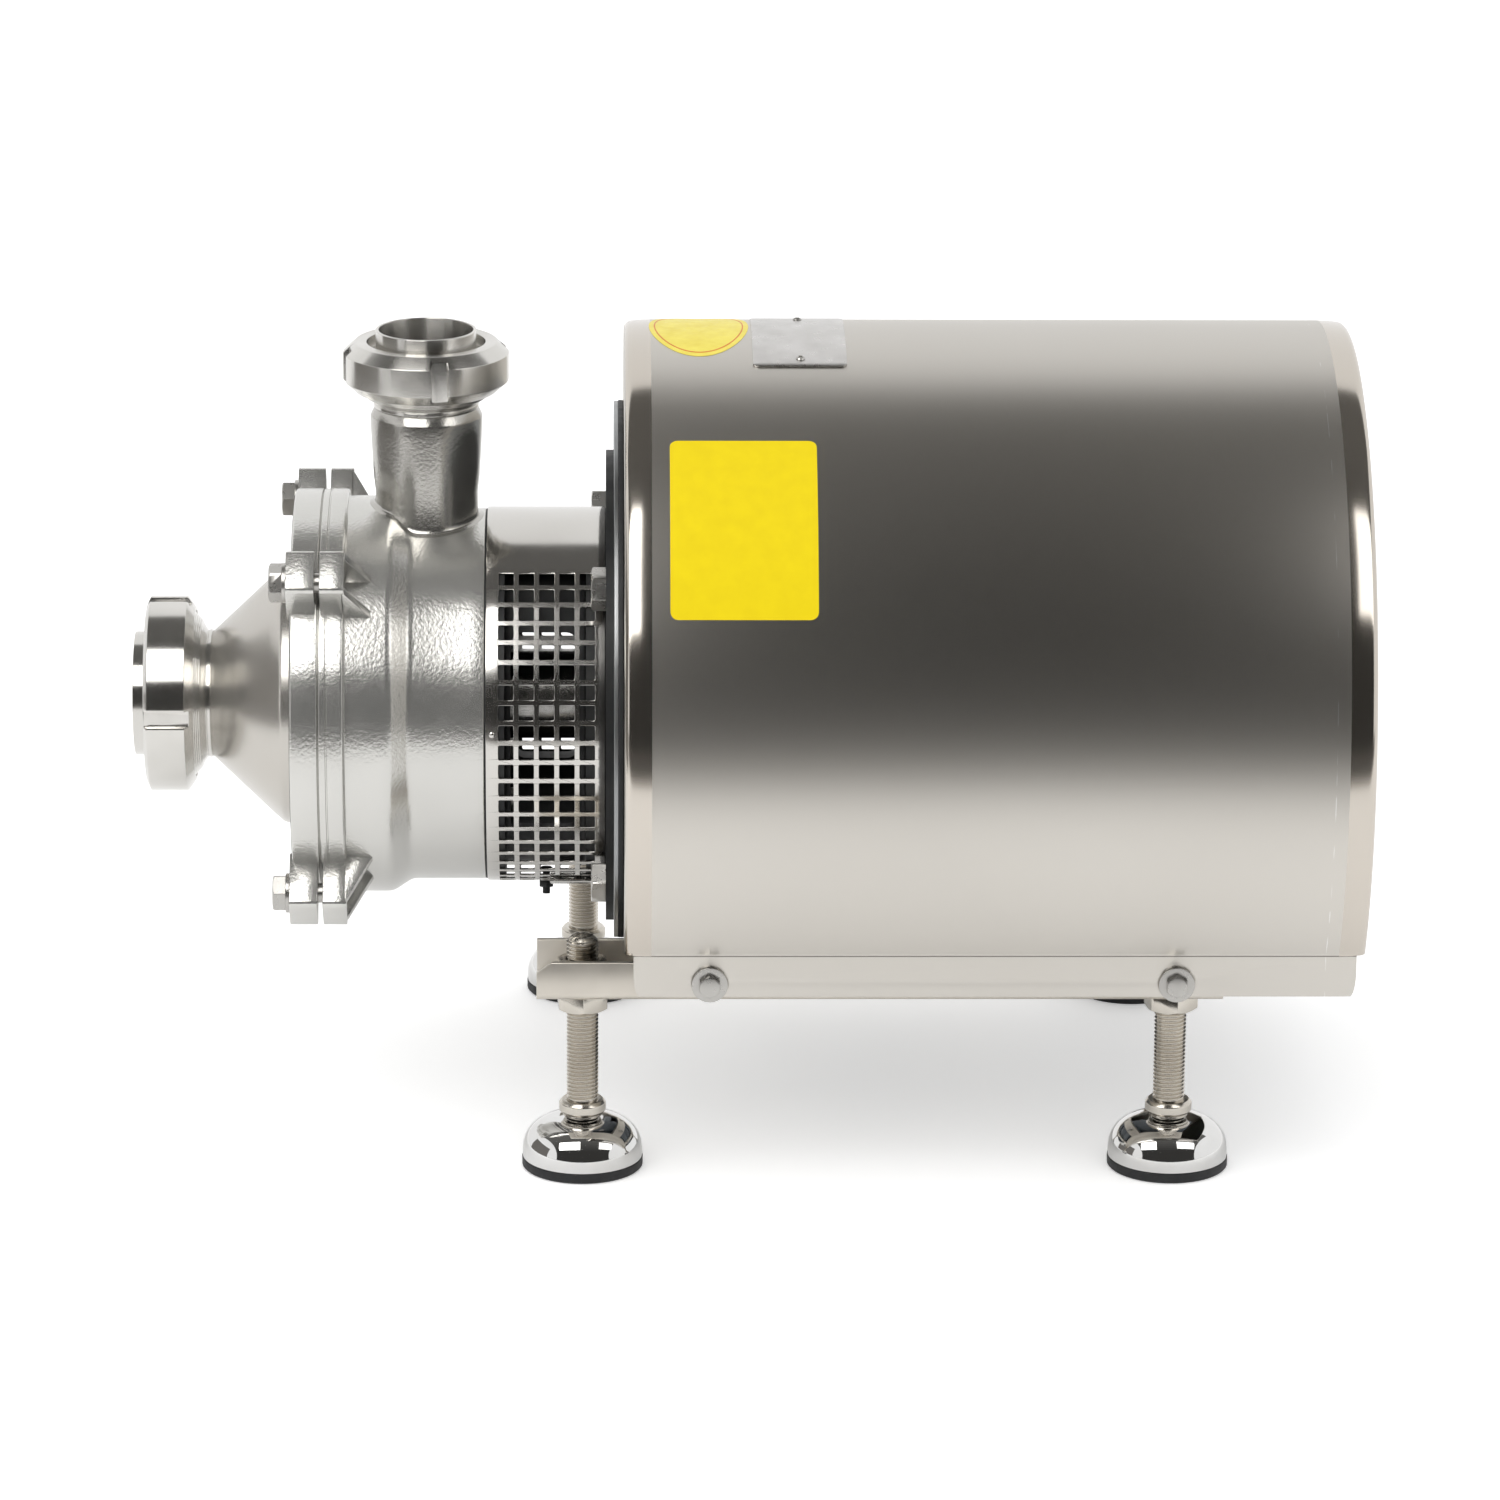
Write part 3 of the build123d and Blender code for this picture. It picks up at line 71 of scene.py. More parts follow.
def facingFront(x, radius, angle):
    # a place on a circle about the shaft, with Z towards the suction side
    spot = at(x, radius * cos(radians(angle)), radius * sin(radians(angle)))
    return Matrix.Translation(spot) @ turnAbout("X", angle) @ turnAbout("Y", -90)


# Colours and materials

def linear(colour):
    values = [int(colour[i:i + 2], 16) / 255 for i in (1, 3, 5)]
    return [v / 12.92 if v <= 0.04045 else ((v + 0.055) / 1.055) ** 2.4 for v in values] + [1]


def addNode(tree, kind, settings=None, links=None):
    node = tree.nodes.new(kind)
    for key, value in (settings or {}).items():
        if isinstance(key, int) or key in node.inputs:
            node.inputs[key].default_value = value
        else:
            setattr(node, key, value)
    for key, source in (links or {}).items():
        tree.links.new(source, node.inputs[key])
    return node


def startMaterial(name, settings):
    material = bpy.data.materials.new(name)
    material.use_nodes = True
    tree = material.node_tree
    tree.nodes.clear()
    shader = addNode(tree, "ShaderNodeBsdfPrincipled", settings)
    addNode(tree, "ShaderNodeOutputMaterial", links={"Surface": shader.outputs["BSDF"]})
    coords = addNode(tree, "ShaderNodeTexCoord").outputs["Object"]
    return material, tree, shader, coords


def noise(tree, coords, featureMm, detail=2.0, stretch=(1, 1, 1)):
    # features of about that many mm, stretched by factors per axis
    scaled = addNode(tree, "ShaderNodeVectorMath", {"operation": "MULTIPLY", 1: [1000 / featureMm / s for s in stretch]},
                     {0: coords}).outputs[0]
    return addNode(tree, "ShaderNodeTexNoise", {"Scale": 1.0, "Detail": detail}, {"Vector": scaled}).outputs["Fac"]


def spread(tree, value, low, high, fromLow=0.3, fromHigh=0.7):
    return addNode(tree, "ShaderNodeMapRange", {"From Min": fromLow, "From Max": fromHigh, "To Min": low, "To Max": high},
                   {"Value": value}).outputs["Result"]


def blendColours(tree, factor, first, second):
    return addNode(tree, "ShaderNodeMix", {"data_type": "RGBA", 6: linear(first), 7: linear(second)},
                   {0: factor}).outputs[2]


def surface(name, colours, roughness, metallic=1.0, patchMm=40, grainMm=0.6, grainDepth=0.0, grainStretch=(1, 1, 1),
            detail=4.0, more=None):
    # two close colours in soft patches, roughness that drifts with them, and a fine grain in the normal
    settings = {"Metallic": metallic}
    settings.update(more or {})
    material, tree, shader, coords = startMaterial(name, settings)
    patches = noise(tree, coords, patchMm, detail)
    low = 0.3 if detail > 1 else 0.15
    tree.links.new(blendColours(tree, spread(tree, patches, 0, 1, low, 1 - low), *colours), shader.inputs["Base Color"])
    if isinstance(roughness, tuple):
        smudges = noise(tree, coords, patchMm * 0.35, detail * 1.5)
        tree.links.new(spread(tree, smudges, *roughness, low, 1 - low), shader.inputs["Roughness"])
    else:
        shader.inputs["Roughness"].default_value = roughness
    if grainDepth:
        grain = noise(tree, coords, grainMm, 3.0, grainStretch)
        bump = addNode(tree, "ShaderNodeBump", {"Strength": 1.0, "Distance": grainDepth / 1000}, {"Height": grain})
        tree.links.new(bump.outputs["Normal"], shader.inputs["Normal"])
    return material, tree, shader, coords


def plain(*arguments, **settings):
    return surface(*arguments, **settings)[0]


def turnedFinish(name, axis, roughness=(0.21, 0.26)):
    # lathe rings about an axis: lights stay sharp round the ring and are drawn out across it
    material, tree, shader, coords = surface(name, ("#dcdad6", "#d1cfca"), roughness, patchMm=30,
                                             more={"Anisotropic": 0.9})
    spoke = addNode(tree, "ShaderNodeVectorMath", {"operation": "SUBTRACT", 1: at(53, 0, 0)}, {0: coords}).outputs[0]
    around = addNode(tree, "ShaderNodeVectorMath", {"operation": "CROSS_PRODUCT", 0: axis}, {1: spoke}).outputs[0]
    normal = addNode(tree, "ShaderNodeNewGeometry").outputs["Normal"]
    across = addNode(tree, "ShaderNodeVectorMath", {"operation": "CROSS_PRODUCT"}, {0: normal, 1: around}).outputs[0]
    tree.links.new(across, shader.inputs["Tangent"])
    return material


def castFinish(name, colours, roughness, metallic, grain, wave):
    # a fine grain over a shallow waviness, each as (mm across, mm deep)
    material, tree, shader, coords = surface(name, colours, roughness, metallic, patchMm=55, detail=1.0)
    broad = addNode(tree, "ShaderNodeBump", {"Strength": 1.0, "Distance": wave[1] / 1000},
                    {"Height": noise(tree, coords, wave[0])})
    fine = addNode(tree, "ShaderNodeBump", {"Strength": 1.0, "Distance": grain[1] / 1000},
                   {"Height": noise(tree, coords, grain[0], 3.0), "Normal": broad.outputs["Normal"]})
    tree.links.new(fine.outputs["Normal"], shader.inputs["Normal"])
    return material


# lathe-turned steel of the unions, hard bands of light on one nut and soft greys on the other
turnedAcross = turnedFinish("turnedSteelShaft", (1, 0, 0))
turnedUpright = turnedFinish("turnedSteelUpright", (0, 0, 1))
# bead blasted casting, pale satin with a sparkling grain and a soft orange-peel waviness
castSteel = castFinish("blastedCastSteel", ("#dad9d5", "#d0cfcb"), (0.2, 0.27), 0.84, (1.7, 0.13), (9, 0.06))
# blasted and polished nozzle, smoother, so its middle keeps the dark of the studio
nozzleSteel = castFinish("satinNozzleSteel", ("#c0beb9", "#b5b3ae"), (0.19, 0.25), 0.93, (1.7, 0.1), (7, 0.04))
# polished cone and hub, with a blurred dark patch in the middle
coneSteel = castFinish("polishedConeSteel", ("#d2cfca", "#c3bfb8"), (0.22, 0.28), 0.86, (1.2, 0.004), (14, 0.03))
# perforated sheet, bright with small dents
guardSteel = castFinish("perforatedBrightSteel", ("#d8d6d2", "#cbc8c3"), (0.12, 0.18), 1.0, (1.5, 0.001), (16, 0.03))
# stainless bolts, grey satin facets
boltSteel = plain("satinBoltSteel", ("#c2c0bc", "#b4b2ae"), (0.26, 0.3), 0.92, patchMm=30, grainMm=0.3, grainDepth=0.004)
# rails, warm and matte from blasting
railSteel = plain("blastedRailSteel", ("#dcd6cc", "#cec8be"), (0.34, 0.42), 0.85, patchMm=40, grainMm=0.4, grainDepth=0.01)
# stud and nuts, bright drawn bar
studSteel = plain("drawnStudSteel", ("#d2cdc4", "#c4beb4"), (0.18, 0.24), patchMm=25, grainMm=0.3, grainDepth=0.003)
# cups, chrome with only the faintest haze
chrome = plain("mirrorChrome", ("#e4e4e3", "#dad9d7"), (0.03, 0.06), patchMm=20)
# black rubber of pads and rim, dull with a soft sheen
rubber = plain("blackRubber", ("#1b1c1e", "#242526"), (0.5, 0.65), 0.0, patchMm=12, grainMm=0.5, grainDepth=0.02)
lanternIron = plain("darkCastIron", ("#2c2d2e", "#3a3a39"), (0.45, 0.6), 0.6, patchMm=20, grainMm=1.2, grainDepth=0.06)
plateSteel = plain("greySatinPlate", ("#a9abac", "#9a9c9d"), (0.3, 0.42), patchMm=35, grainMm=0.4, grainDepth=0.004)
motorPaint = plain("greyMotorPaint", ("#6b7278", "#5f666c"), (0.4, 0.55), 0.0, patchMm=40, grainMm=1.5, grainDepth=0.05)
fanPlastic = plain("blackFanPlastic", ("#1d1e1f", "#262728"), (0.4, 0.5), 0.0, patchMm=20)
lamination = plain("varnishedLaminations", ("#5b4a3c", "#4a4038"), (0.4, 0.55), 0.5, patchMm=15, grainMm=0.5,
                   grainDepth=0.03, grainStretch=(1, 60, 60))
ceramic = plain("lappedCeramic", ("#1f2022", "#292a2c"), (0.15, 0.25), 0.0, patchMm=8)
shaftSteel = plain("turnedShaftSteel", ("#c2c1be", "#b2b1ad"), (0.16, 0.26), patchMm=10, grainMm=0.3, grainDepth=0.002,
                   grainStretch=(1, 300, 300))


def brushedSheet(name, colours, roughness, streakDepth, blur):
    # brushed along the shaft, so its lights spread round the drum and stay narrow along it
    material, tree, shader, coords = surface(name, colours, roughness, patchMm=160, detail=1.0,
                                             more={"Anisotropic": blur})
    streaks = noise(tree, coords, 1.1, 1.0, (60, 1, 1))
    longStreaks = noise(tree, coords, 3.4, 1.0, (45, 1, 1))
    both = addNode(tree, "ShaderNodeMath", {"operation": "ADD"}, {0: streaks, 1: longStreaks}).outputs[0]
    bump = addNode(tree, "ShaderNodeBump", {"Strength": 1.0, "Distance": streakDepth / 1000}, {"Height": both})
    tree.links.new(bump.outputs["Normal"], shader.inputs["Normal"])
    normal = addNode(tree, "ShaderNodeNewGeometry").outputs["Normal"]
    tangent = addNode(tree, "ShaderNodeVectorMath", {"operation": "CROSS_PRODUCT", 1: (1, 0, 0)}, {0: normal})
    tree.links.new(tangent.outputs[0], shader.inputs["Tangent"])
    return material


def thinMark(material, part, place, halfMm, colour, strength, breaks=None):
    # a thin line of colour across the sheet at one X or Z (in metres), broken up where a noise is low; it paints the
    # shade line at the fold and a scratch
    tree = material.node_tree
    shader = next(node for node in tree.nodes if node.type == "BSDF_PRINCIPLED")
    coords = addNode(tree, "ShaderNodeTexCoord").outputs["Object"]
    where = addNode(tree, "ShaderNodeSeparateXYZ", links={0: coords}).outputs[part]
    line = addNode(tree, "ShaderNodeMath", {"operation": "COMPARE", 1: place, 2: halfMm / 1000}, {0: where}).outputs[0]
    if breaks:
        gaps = spread(tree, noise(tree, coords, breaks, 2.0), 0, 1, 0.5, 0.62)
        line = addNode(tree, "ShaderNodeMath", {"operation": "MULTIPLY"}, {0: line, 1: gaps}).outputs[0]
    line = addNode(tree, "ShaderNodeMath", {"operation": "MULTIPLY", 1: strength}, {0: line}).outputs[0]
    before = shader.inputs["Base Color"].links[0].from_socket
    mixed = addNode(tree, "ShaderNodeMix", {"data_type": "RGBA", 7: linear(colour)}, {0: line, 6: before}).outputs[2]
    tree.links.new(mixed, shader.inputs["Base Color"])


sheetSteel = brushedSheet("brushedStainlessSheet", ("#d6d2cb", "#d0ccc5"), 0.275, 0.006, 0.75)
# the polished band's colours are darker and warmer than the drum's: painted shade for the dim warm floor it reflects
bandSteel = brushedSheet("polishedSheetBand", ("#d2cbc2", "#c8c1b7"), 0.13, 0.001, 0.4)


def sticker(name, colours, roughness, patchMm=8):
    # printed film, smooth with a thin gloss and slight wear
    return plain(name, colours, roughness, 0.0, patchMm=patchMm, more={"Specular IOR Level": 0.22})


yellowFilm = sticker("yellowPrintedFilm", ("#ecd302", "#e7cd01"), (0.4, 0.5))
paleYellowFilm = sticker("paleYellowFilm", ("#ecdd5c", "#e2cf48"), (0.3, 0.42))
orangeInk = sticker("orangeInk", ("#d9782a", "#cc6a20"), (0.3, 0.42))
plateAluminium = plain("satinAluminiumPlate", ("#d4d2d0", "#c6c4c1"), (0.25, 0.36), patchMm=20, grainMm=0.3,
                       grainDepth=0.003, grainStretch=(60, 1, 1))

finishOf = {
    "stainless_polished": turnedAcross, "stainless_cast": castSteel, "impeller_steel": castSteel,
    "shaft_steel": shaftSteel, "spring_steel": shaftSteel, "silicon_carbide": ceramic, "gasket_rubber": rubber,
    "bolt_steel": boltSteel, "lantern_iron": lanternIron, "plate_steel": plateSteel, "rim_rubber": rubber,
    "motor_paint": motorPaint, "lamination_steel": lamination, "bearing_steel": shaftSteel,
    "fan_plastic": fanPlastic, "fan_cover_paint": motorPaint, "rail_steel": railSteel,
    "stainless_brushed": sheetSteel, "foot_stud_steel": studSteel, "foot_chrome": chrome, "pad_rubber": rubber,
}
for node, piece in cad.items():
    piece.data.materials.clear()
    piece.data.materials.append(finishOf[slotOf[node]])
print("materials made")


# Modelling helpers

def pick(*pieces):
    bpy.ops.object.select_all(action="DESELECT")
    for piece in pieces:
        piece.select_set(True)
    bpy.context.view_layer.objects.active = pieces[0]


def settle(piece, place):
    # puts a piece in place, with the place in its mesh
    pick(piece)
    piece.matrix_world = place
    bpy.ops.object.transform_apply(location=True, rotation=True, scale=True)
    return piece


def startPoint(name, point):
    bpy.ops.mesh.primitive_plane_add(size=0.001)
    piece = bpy.context.active_object
    piece.name = name
    bpy.context.tool_settings.mesh_select_mode = (True, False, False)
    bpy.ops.object.mode_set(mode="EDIT")
    bpy.ops.mesh.select_all(action="SELECT")
    bpy.ops.mesh.merge(type="CENTER")
    bpy.ops.transform.translate(value=point)
    return piece


def drawLine(points):
    for before, after in zip(points, points[1:]):
        bpy.ops.mesh.extrude_vertices_move(TRANSFORM_OT_translate={"value": after - before})


def mergeAll():
    bpy.ops.mesh.select_all(action="SELECT")
    bpy.ops.mesh.remove_doubles(threshold=1e-6)


def closeMesh(piece):
    mergeAll()
    bpy.ops.mesh.normals_make_consistent(inside=False)
    bpy.ops.object.mode_set(mode="OBJECT")


def roundedOutline(corners, closed=True):
    # (across, along, rounding) corners in mm as points, with each rounding as an arc
    points = []
    for index, (across, along, rounding) in enumerate(corners):
        here = Vector((across, along))
        if rounding <= 0 or (not closed and index in (0, len(corners) - 1)):
            points.append(here)
            continue
        before = (Vector(corners[index - 1][:2]) - here).normalized()
        after = (Vector(corners[(index + 1) % len(corners)][:2]) - here).normalized()
        half = before.angle(after) / 2
        centre = here + (before + after).normalized() * rounding / sin(half)
        start = here + before * rounding / tan(half) - centre
        end = here + after * rounding / tan(half) - centre
        first = atan2(start.y, start.x)
        turn = (atan2(end.y, end.x) - first + pi) % (2 * pi) - pi
        steps = max(2, ceil(abs(turn) / 0.3))
        points += [centre + rounding * Vector((cos(first + turn * k / steps), sin(first + turn * k / steps)))
                   for k in range(steps + 1)]
    return points


def turned(name, corners, place, steps=128, closed=True):
    # a turned piece from (radius, height, rounding) corners about Z, then put in place
    points = [Vector((p.x / 1000, 0, p.y / 1000)) for p in roundedOutline(corners, closed)]
    piece = startPoint(name, points[0])
    drawLine(points + points[:1] if closed else points)
    mergeAll()
    bpy.ops.mesh.spin(steps=steps, angle=2 * pi, center=(0, 0, 0), axis=(0, 0, 1))
    closeMesh(piece)
    return settle(piece, place)


def turnedShaft(name, corners, steps=192):
    # a turned piece about the shaft from (x, radius, rounding) corners
    return turned(name, [(radius, x, rounding) for x, radius, rounding in corners], shaftPlace, steps)


def block(name, low, high, place=None):
    # a box between two corners in mm, in pump coordinates, or in the place's own
    low, high = Vector(low), Vector(high)
    bpy.ops.mesh.primitive_cube_add(size=1)
    piece = bpy.context.active_object
    piece.name = name
    size = Matrix.Diagonal([*((high - low) / 1000), 1])
    if place is None:
        return settle(piece, Matrix.Translation(at(*((low + high) / 2))) @ size)
    return settle(piece, place @ Matrix.Translation((low + high) / 2000) @ size)


def rod(name, radius, bottom, top, place, sides=48):
    # a round bar along the place's Z
    bpy.ops.mesh.primitive_cylinder_add(vertices=sides, radius=radius / 1000, depth=(top - bottom) / 1000)
    piece = bpy.context.active_object
    piece.name = name
    return settle(piece, place @ Matrix.Translation((0, 0, (top + bottom) / 2000)))


def useModifier(piece, kind, settings):
    pick(piece)
    modifier = piece.modifiers.new("step", kind)
    for key, value in settings.items():
        setattr(modifier, key, value)
    bpy.ops.object.modifier_apply(modifier=modifier.name)
    return piece


def combine(piece, tool, operation="DIFFERENCE"):
    useModifier(piece, "BOOLEAN", {"operation": operation, "solver": "EXACT", "object": tool})
    bpy.data.objects.remove(tool)
    return piece


def soften(piece, width, segments=2, angle=35):
    return useModifier(piece, "BEVEL", {"width": width / 1000, "segments": segments, "limit_method": "ANGLE",
                                        "angle_limit": radians(angle), "use_clamp_overlap": False})


def copyTo(master, place):
    pick(master)
    bpy.ops.object.duplicate(linked=False)
    return settle(bpy.context.active_object, place)


def joined(name, pieces):
    pick(*pieces)
    if len(pieces) > 1:
        bpy.ops.object.join()
    pieces[0].name = name
    return pieces[0]


def hand(piece, node, material, stands=True, smooth=32):
    # the piece's finish, its body from the CAD node, and whether it stands for the node
    if material:
        piece.data.materials.clear()
        piece.data.materials.append(material)
    pick(piece)
    bpy.ops.object.shade_smooth_by_angle(angle=radians(smooth))
    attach(piece, bodyOf[node])
    if stands:
        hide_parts(node)
    return piece


# Tube unions: welded male part, liner and slotted nut

union = {"neck": 5.2, "nutStart": 8.8, "nutEnd": 33.8, "male": 21.0, "liner": 39.9, "wall": 1.6, "slot": 8.3,
         "slotDepth": 3.5}
# chamfers are (radial, along the axis), at the nut's outer and inner end
suction = {"tube": 31.75, "thread": 42.5, "nut": 50.0, "place": suctionPlace, "nutTurn": 0, "name": "suction",
           "base": "front_cover", "finish": turnedAcross, "outer": (4.4, 2.0), "inner": (5.8, 4.0)}
outlet = {"tube": 25.5, "thread": 35.0, "nut": 42.0, "place": outletPlace, "nutTurn": 11, "name": "outlet",
          "base": "outlet_nozzle", "finish": turnedUpright, "outer": (6.0, 5.4), "inner": (6.0, 5.6)}

for port in (suction, outlet):
    tube, thread, nutRadius, place = port["tube"], port["thread"], port["nut"], port["place"]
    bore = tube - union["wall"]
    start, end = union["nutStart"], union["nutEnd"]
    # male part with a weld bead at its root
    crests = [(thread - 4.6 + 0.9 * turn + lift, union["neck"] + 0.2 + 0.9 * turn + step, 0.1)
              for turn in range(4) for step, lift in ((0, -0.35), (0.3, 0.35), (0.55, 0.35))]
    male = turned(port["name"] + "MalePart", [
        (bore, 0, 0), (tube + 0.4, 0, 0), (tube + 1.3, 0.6, 0.4), (tube + 1.1, 2.0, 0.4), (tube + 0.7, 2.6, 0.3),
        (thread - 6.5, union["neck"] - 0.4, 1.0), *crests, (thread - 0.6, start + 0.6, 0.1), (thread, start + 1.6, 0.2),
        (thread, union["male"] - 1.5, 0.2), (thread - 1.5, union["male"], 0.2), (bore + 4.1, union["male"], 0.1),
        (bore + 4.1, union["male"] - 1.2, 0), (bore, union["male"] - 1.2, 0.2)], place, 128)
    hand(male, port["base"], port["finish"], stands=False)
    liner = turned(port["name"] + "Liner", [
        (bore, 22.2, 0.2), (thread - 1, 22.2, 0.3), (thread - 1, 27.2, 0.3), (tube + 2.5, 27.2, 0.6), (tube, 30.2, 0.8),
        (tube, union["liner"], 0.3), (bore, union["liner"], 0.3)], place, 128)
    hand(liner, port["name"] + "_liner", port["finish"])
    nut = turned(port["name"] + "Nut", [
        (thread + 0.15, start, 0.3), (nutRadius - port["inner"][0], start, 0.4),
        (nutRadius, start + port["inner"][1], 0.5), (nutRadius, end - port["outer"][1], 0.5),
        (nutRadius - port["outer"][0], end, 0.4), (tube + 4.5, end, 0.5), (tube + 4.5, 27.3, 0.2),
        (thread + 0.15, 27.3, 0)], place, 160)
    for quarter in range(4):
        slotPlace = place @ turnAbout("Z", port["nutTurn"] + 90 * quarter)
        half = union["slot"] / 2
        combine(nut, block("slotTool", (nutRadius - union["slotDepth"], -half, start - 1),
                           (nutRadius + 2, half, end + 1), slotPlace))
    soften(nut, 0.35, 2, 40)
    hand(nut, port["name"] + "_union_nut", port["finish"])
print("unions made")

# Front cover: cone, hub, flange and lugs

coneEnd = -56.8 + (61.0 - 31.75) / tan(radians(43.5))
innerConeEnd = -56.8 + (56.5 - 30.15) / tan(radians(43.5))
cover = turnedShaft("frontCover", [
    (-56.8, 30.15, 0.2), (-56.8, 32.15, 0.3), (coneEnd, 61.0, 10), (-20.3, 66.0, 4), (-14.3, 67.0, 2),
    (-14.3, 104.0, 0), (-14.3, 105.0, 1.6), (-0.4, 105.0, 0.5), (-0.4, 103.6, 0.3), (0, 103.2, 0), (0, 96.4, 0),
    (3.0, 96.4, 0.5), (3.0, 56.5, 1.0), (innerConeEnd, 56.5, 6)])
lug = {"inner": 98.5, "outer": 128.0, "half": 12.0, "front": -15.6, "gap": 1.3, "back": 13.4}


def lugBlock(name, low, high, angle):
    piece = block(name, (low, lug["inner"], -lug["half"]), (high, lug["outer"], lug["half"]),
                  Matrix.Translation(at(0, 0, 0)) @ turnAbout("X", angle))
    # the two outer corners rounded, then every edge eased
    pick(piece)
    bpy.ops.object.mode_set(mode="EDIT")
    bpy.ops.mesh.select_all(action="DESELECT")
    bpy.ops.object.mode_set(mode="OBJECT")
    inwards = turnAbout("X", -angle)
    for edge in piece.data.edges:
        ends = [inwards @ (piece.data.vertices[v].co - at(0, 0, 0)) for v in edge.vertices]
        along = abs(ends[0].x - ends[1].x) > 0.001
        edge.select = along and min(ends[0].y, ends[1].y) > lug["outer"] / 1000 - 1e-4
    bpy.context.tool_settings.mesh_select_mode = (False, True, False)
    bpy.ops.object.mode_set(mode="EDIT")
    bpy.ops.mesh.bevel(offset=0.003, segments=5)
    bpy.ops.object.mode_set(mode="OBJECT")
    bpy.context.tool_settings.mesh_select_mode = (True, False, False)
    return soften(piece, 0.5, 2, 40)


coverLugs = [lugBlock("coverLug", lug["front"], -lug["gap"], angle) for angle in diagonals]
frontCover = hand(joined("frontCover", [cover] + coverLugs), "front_cover", castSteel)
frontCover.data.materials.append(coneSteel)
for face in frontCover.data.polygons:
    spot = (face.center - at(0, 0, 0)) * 1000
    if spot.x < -14.6 and sqrt(spot.y**2 + spot.z**2) < 67.5:
        face.material_index = 1
print("cover made")

# Casing: drum with groove, taper, lugs and gussets, rear plate and nozzle

drumCorners = [
    (0, 96.5, 0.2), (0, 103.2, 0), (0.4, 103.6, 0.3), (0.4, 105.0, 0.5), (3.6, 105.0, 0.15), (3.8, 104.2, 0.1),
    (4.4, 104.2, 0.1), (4.6, 105.0, 0.15), (13.1, 105.0, 1.6), (13.1, 101.5, 0.6), (35.3, 101.5, 7),
    (45.3, 95.0, 7), (75.0, 95.0, 0)]
casing = turnedShaft("casingDrum", drumCorners + [(75.0, 90.0, 0), (45.3, 90.0, 4), (36.3, 96.5, 4)])
combine(casing, rod("passageTool", 23.9, 60, 130, Matrix.Translation(at(53, 0, 0))))
casingLugs = [lugBlock("casingLug", lug["gap"], lug["back"], angle) for angle in diagonals]


def gusset(angle, side):
    # rib behind a lug, its back edge sloping down to the drum
    low, high = (8, 12) if side > 0 else (-12, -8)
    place = Matrix.Translation(at(0, 0, 0)) @ turnAbout("X", angle)
    corners = [(12.0, 98.5), (12.0, 124.5), (13.6, 124.5), (26.4, 100.5), (26.4, 98.5)]
    piece = startPoint("gusset", Vector((corners[0][0], corners[0][1], low)) / 1000)
    points = [Vector((x, y, low)) / 1000 for x, y in corners]
    drawLine(points + points[:1])
    mergeAll()
    bpy.ops.mesh.edge_face_add()
    bpy.ops.mesh.extrude_region_move(TRANSFORM_OT_translate={"value": (0, 0, (high - low) / 1000)})
    closeMesh(piece)
    return soften(settle(piece, place), 0.4, 2, 30)


ribs = [gusset(angle, side) for angle in diagonals for side in (-1, 1)]
hand(joined("casingDrum", [casing] + casingLugs + ribs), "pump_casing", castSteel)
rearPlate = turnedShaft("casingBackPlate", [
    (75.0, 95.0, 0), (83.0, 95.0, 0.8), (83.0, 15.5, 0.3), (81.0, 15.5, 0), (81.0, 21.1, 0), (75.0, 21.1, 0.3)])
hand(rearPlate, "casing_back_plate", castSteel)

drumLine = roundedOutline(drumCorners[9:], closed=False)


def drumRadius(x):
    for before, after in zip(drumLine, drumLine[1:]):
        if before.x <= x <= after.x and after.x > before.x:
            return before.y + (after.y - before.y) * (x - before.x) / (after.x - before.x)
    return 95.0


nozzle = {"x": 53.0, "top": 152.0, "topRadius": 28.5, "foot": 26.0, "fillet": 3.0}
nozzleWall = turned("nozzle", [
    (23.9, 152.0, 0.1), (26.2, 152.0, 0.2), (28.4, 147.5, 3.0), (28.2, 140.0, 0), (27.6, 128.0, 0), (26.9, 116.0, 0),
    (26.0, 108.0, 0), (26.0, 106.0, 0), (26.3, 104.0, 0), (26.9, 103.0, 0), (27.8, 102.0, 0), (29.0, 101.0, 0),
    (29.2, 100.0, 0), (29.2, 94.0, 0), (23.9, 94.0, 0)], Matrix.Translation(at(53, 0, 0)), 128)
# the foot's rings drop onto the drum, so the fillet runs round the saddle at one height above it
footLevels = {106.0: 3.6, 104.0: 1.3, 103.0: 0.7, 102.0: 0.25, 101.0: 0.0, 100.0: -0.5, 94.0: -3.5}
centre = at(53, 0, 0)
for vertex in nozzleWall.data.vertices:
    spot = (vertex.co - centre) * 1000
    level = min(footLevels, key=lambda value: abs(value - spot.z))
    if abs(level - spot.z) < 0.05:
        reach = drumRadius(53.0 + spot.x)
        vertex.co.z = centre.z + (sqrt(reach**2 - spot.y**2) + footLevels[level]) / 1000
hand(nozzleWall, "outlet_nozzle", nozzleSteel, smooth=40)
print("casing made")


# Bolts: hex heads and nuts with turned off corners, washers

def hexBar(name, flats, bottom, top, turnTop=True, turnBottom=False, bore=0):
    corner = flats / 2 / cos(pi / 6)
    drop = (corner - flats * 0.48) * 0.58
    bar = rod(name, corner, bottom, top, Matrix.Identity(4), 6)
    if bore:
        combine(bar, rod("boreTool", bore, bottom - 1, top + 1, Matrix.Identity(4), 48))
    outline = [(0, bottom, 0)]
    outline += [(flats * 0.48, bottom, 0), (corner + 0.05, bottom + drop, 0)] if turnBottom else [(corner + 0.05, bottom, 0)]
    outline += [(corner + 0.05, top - drop, 0), (flats * 0.48, top, 0)] if turnTop else [(corner + 0.05, top, 0)]
    combine(bar, turned("blank", outline + [(0, top, 0)], Matrix.Identity(4), 96), "INTERSECT")
    return soften(bar, 0.12, 1, 25)


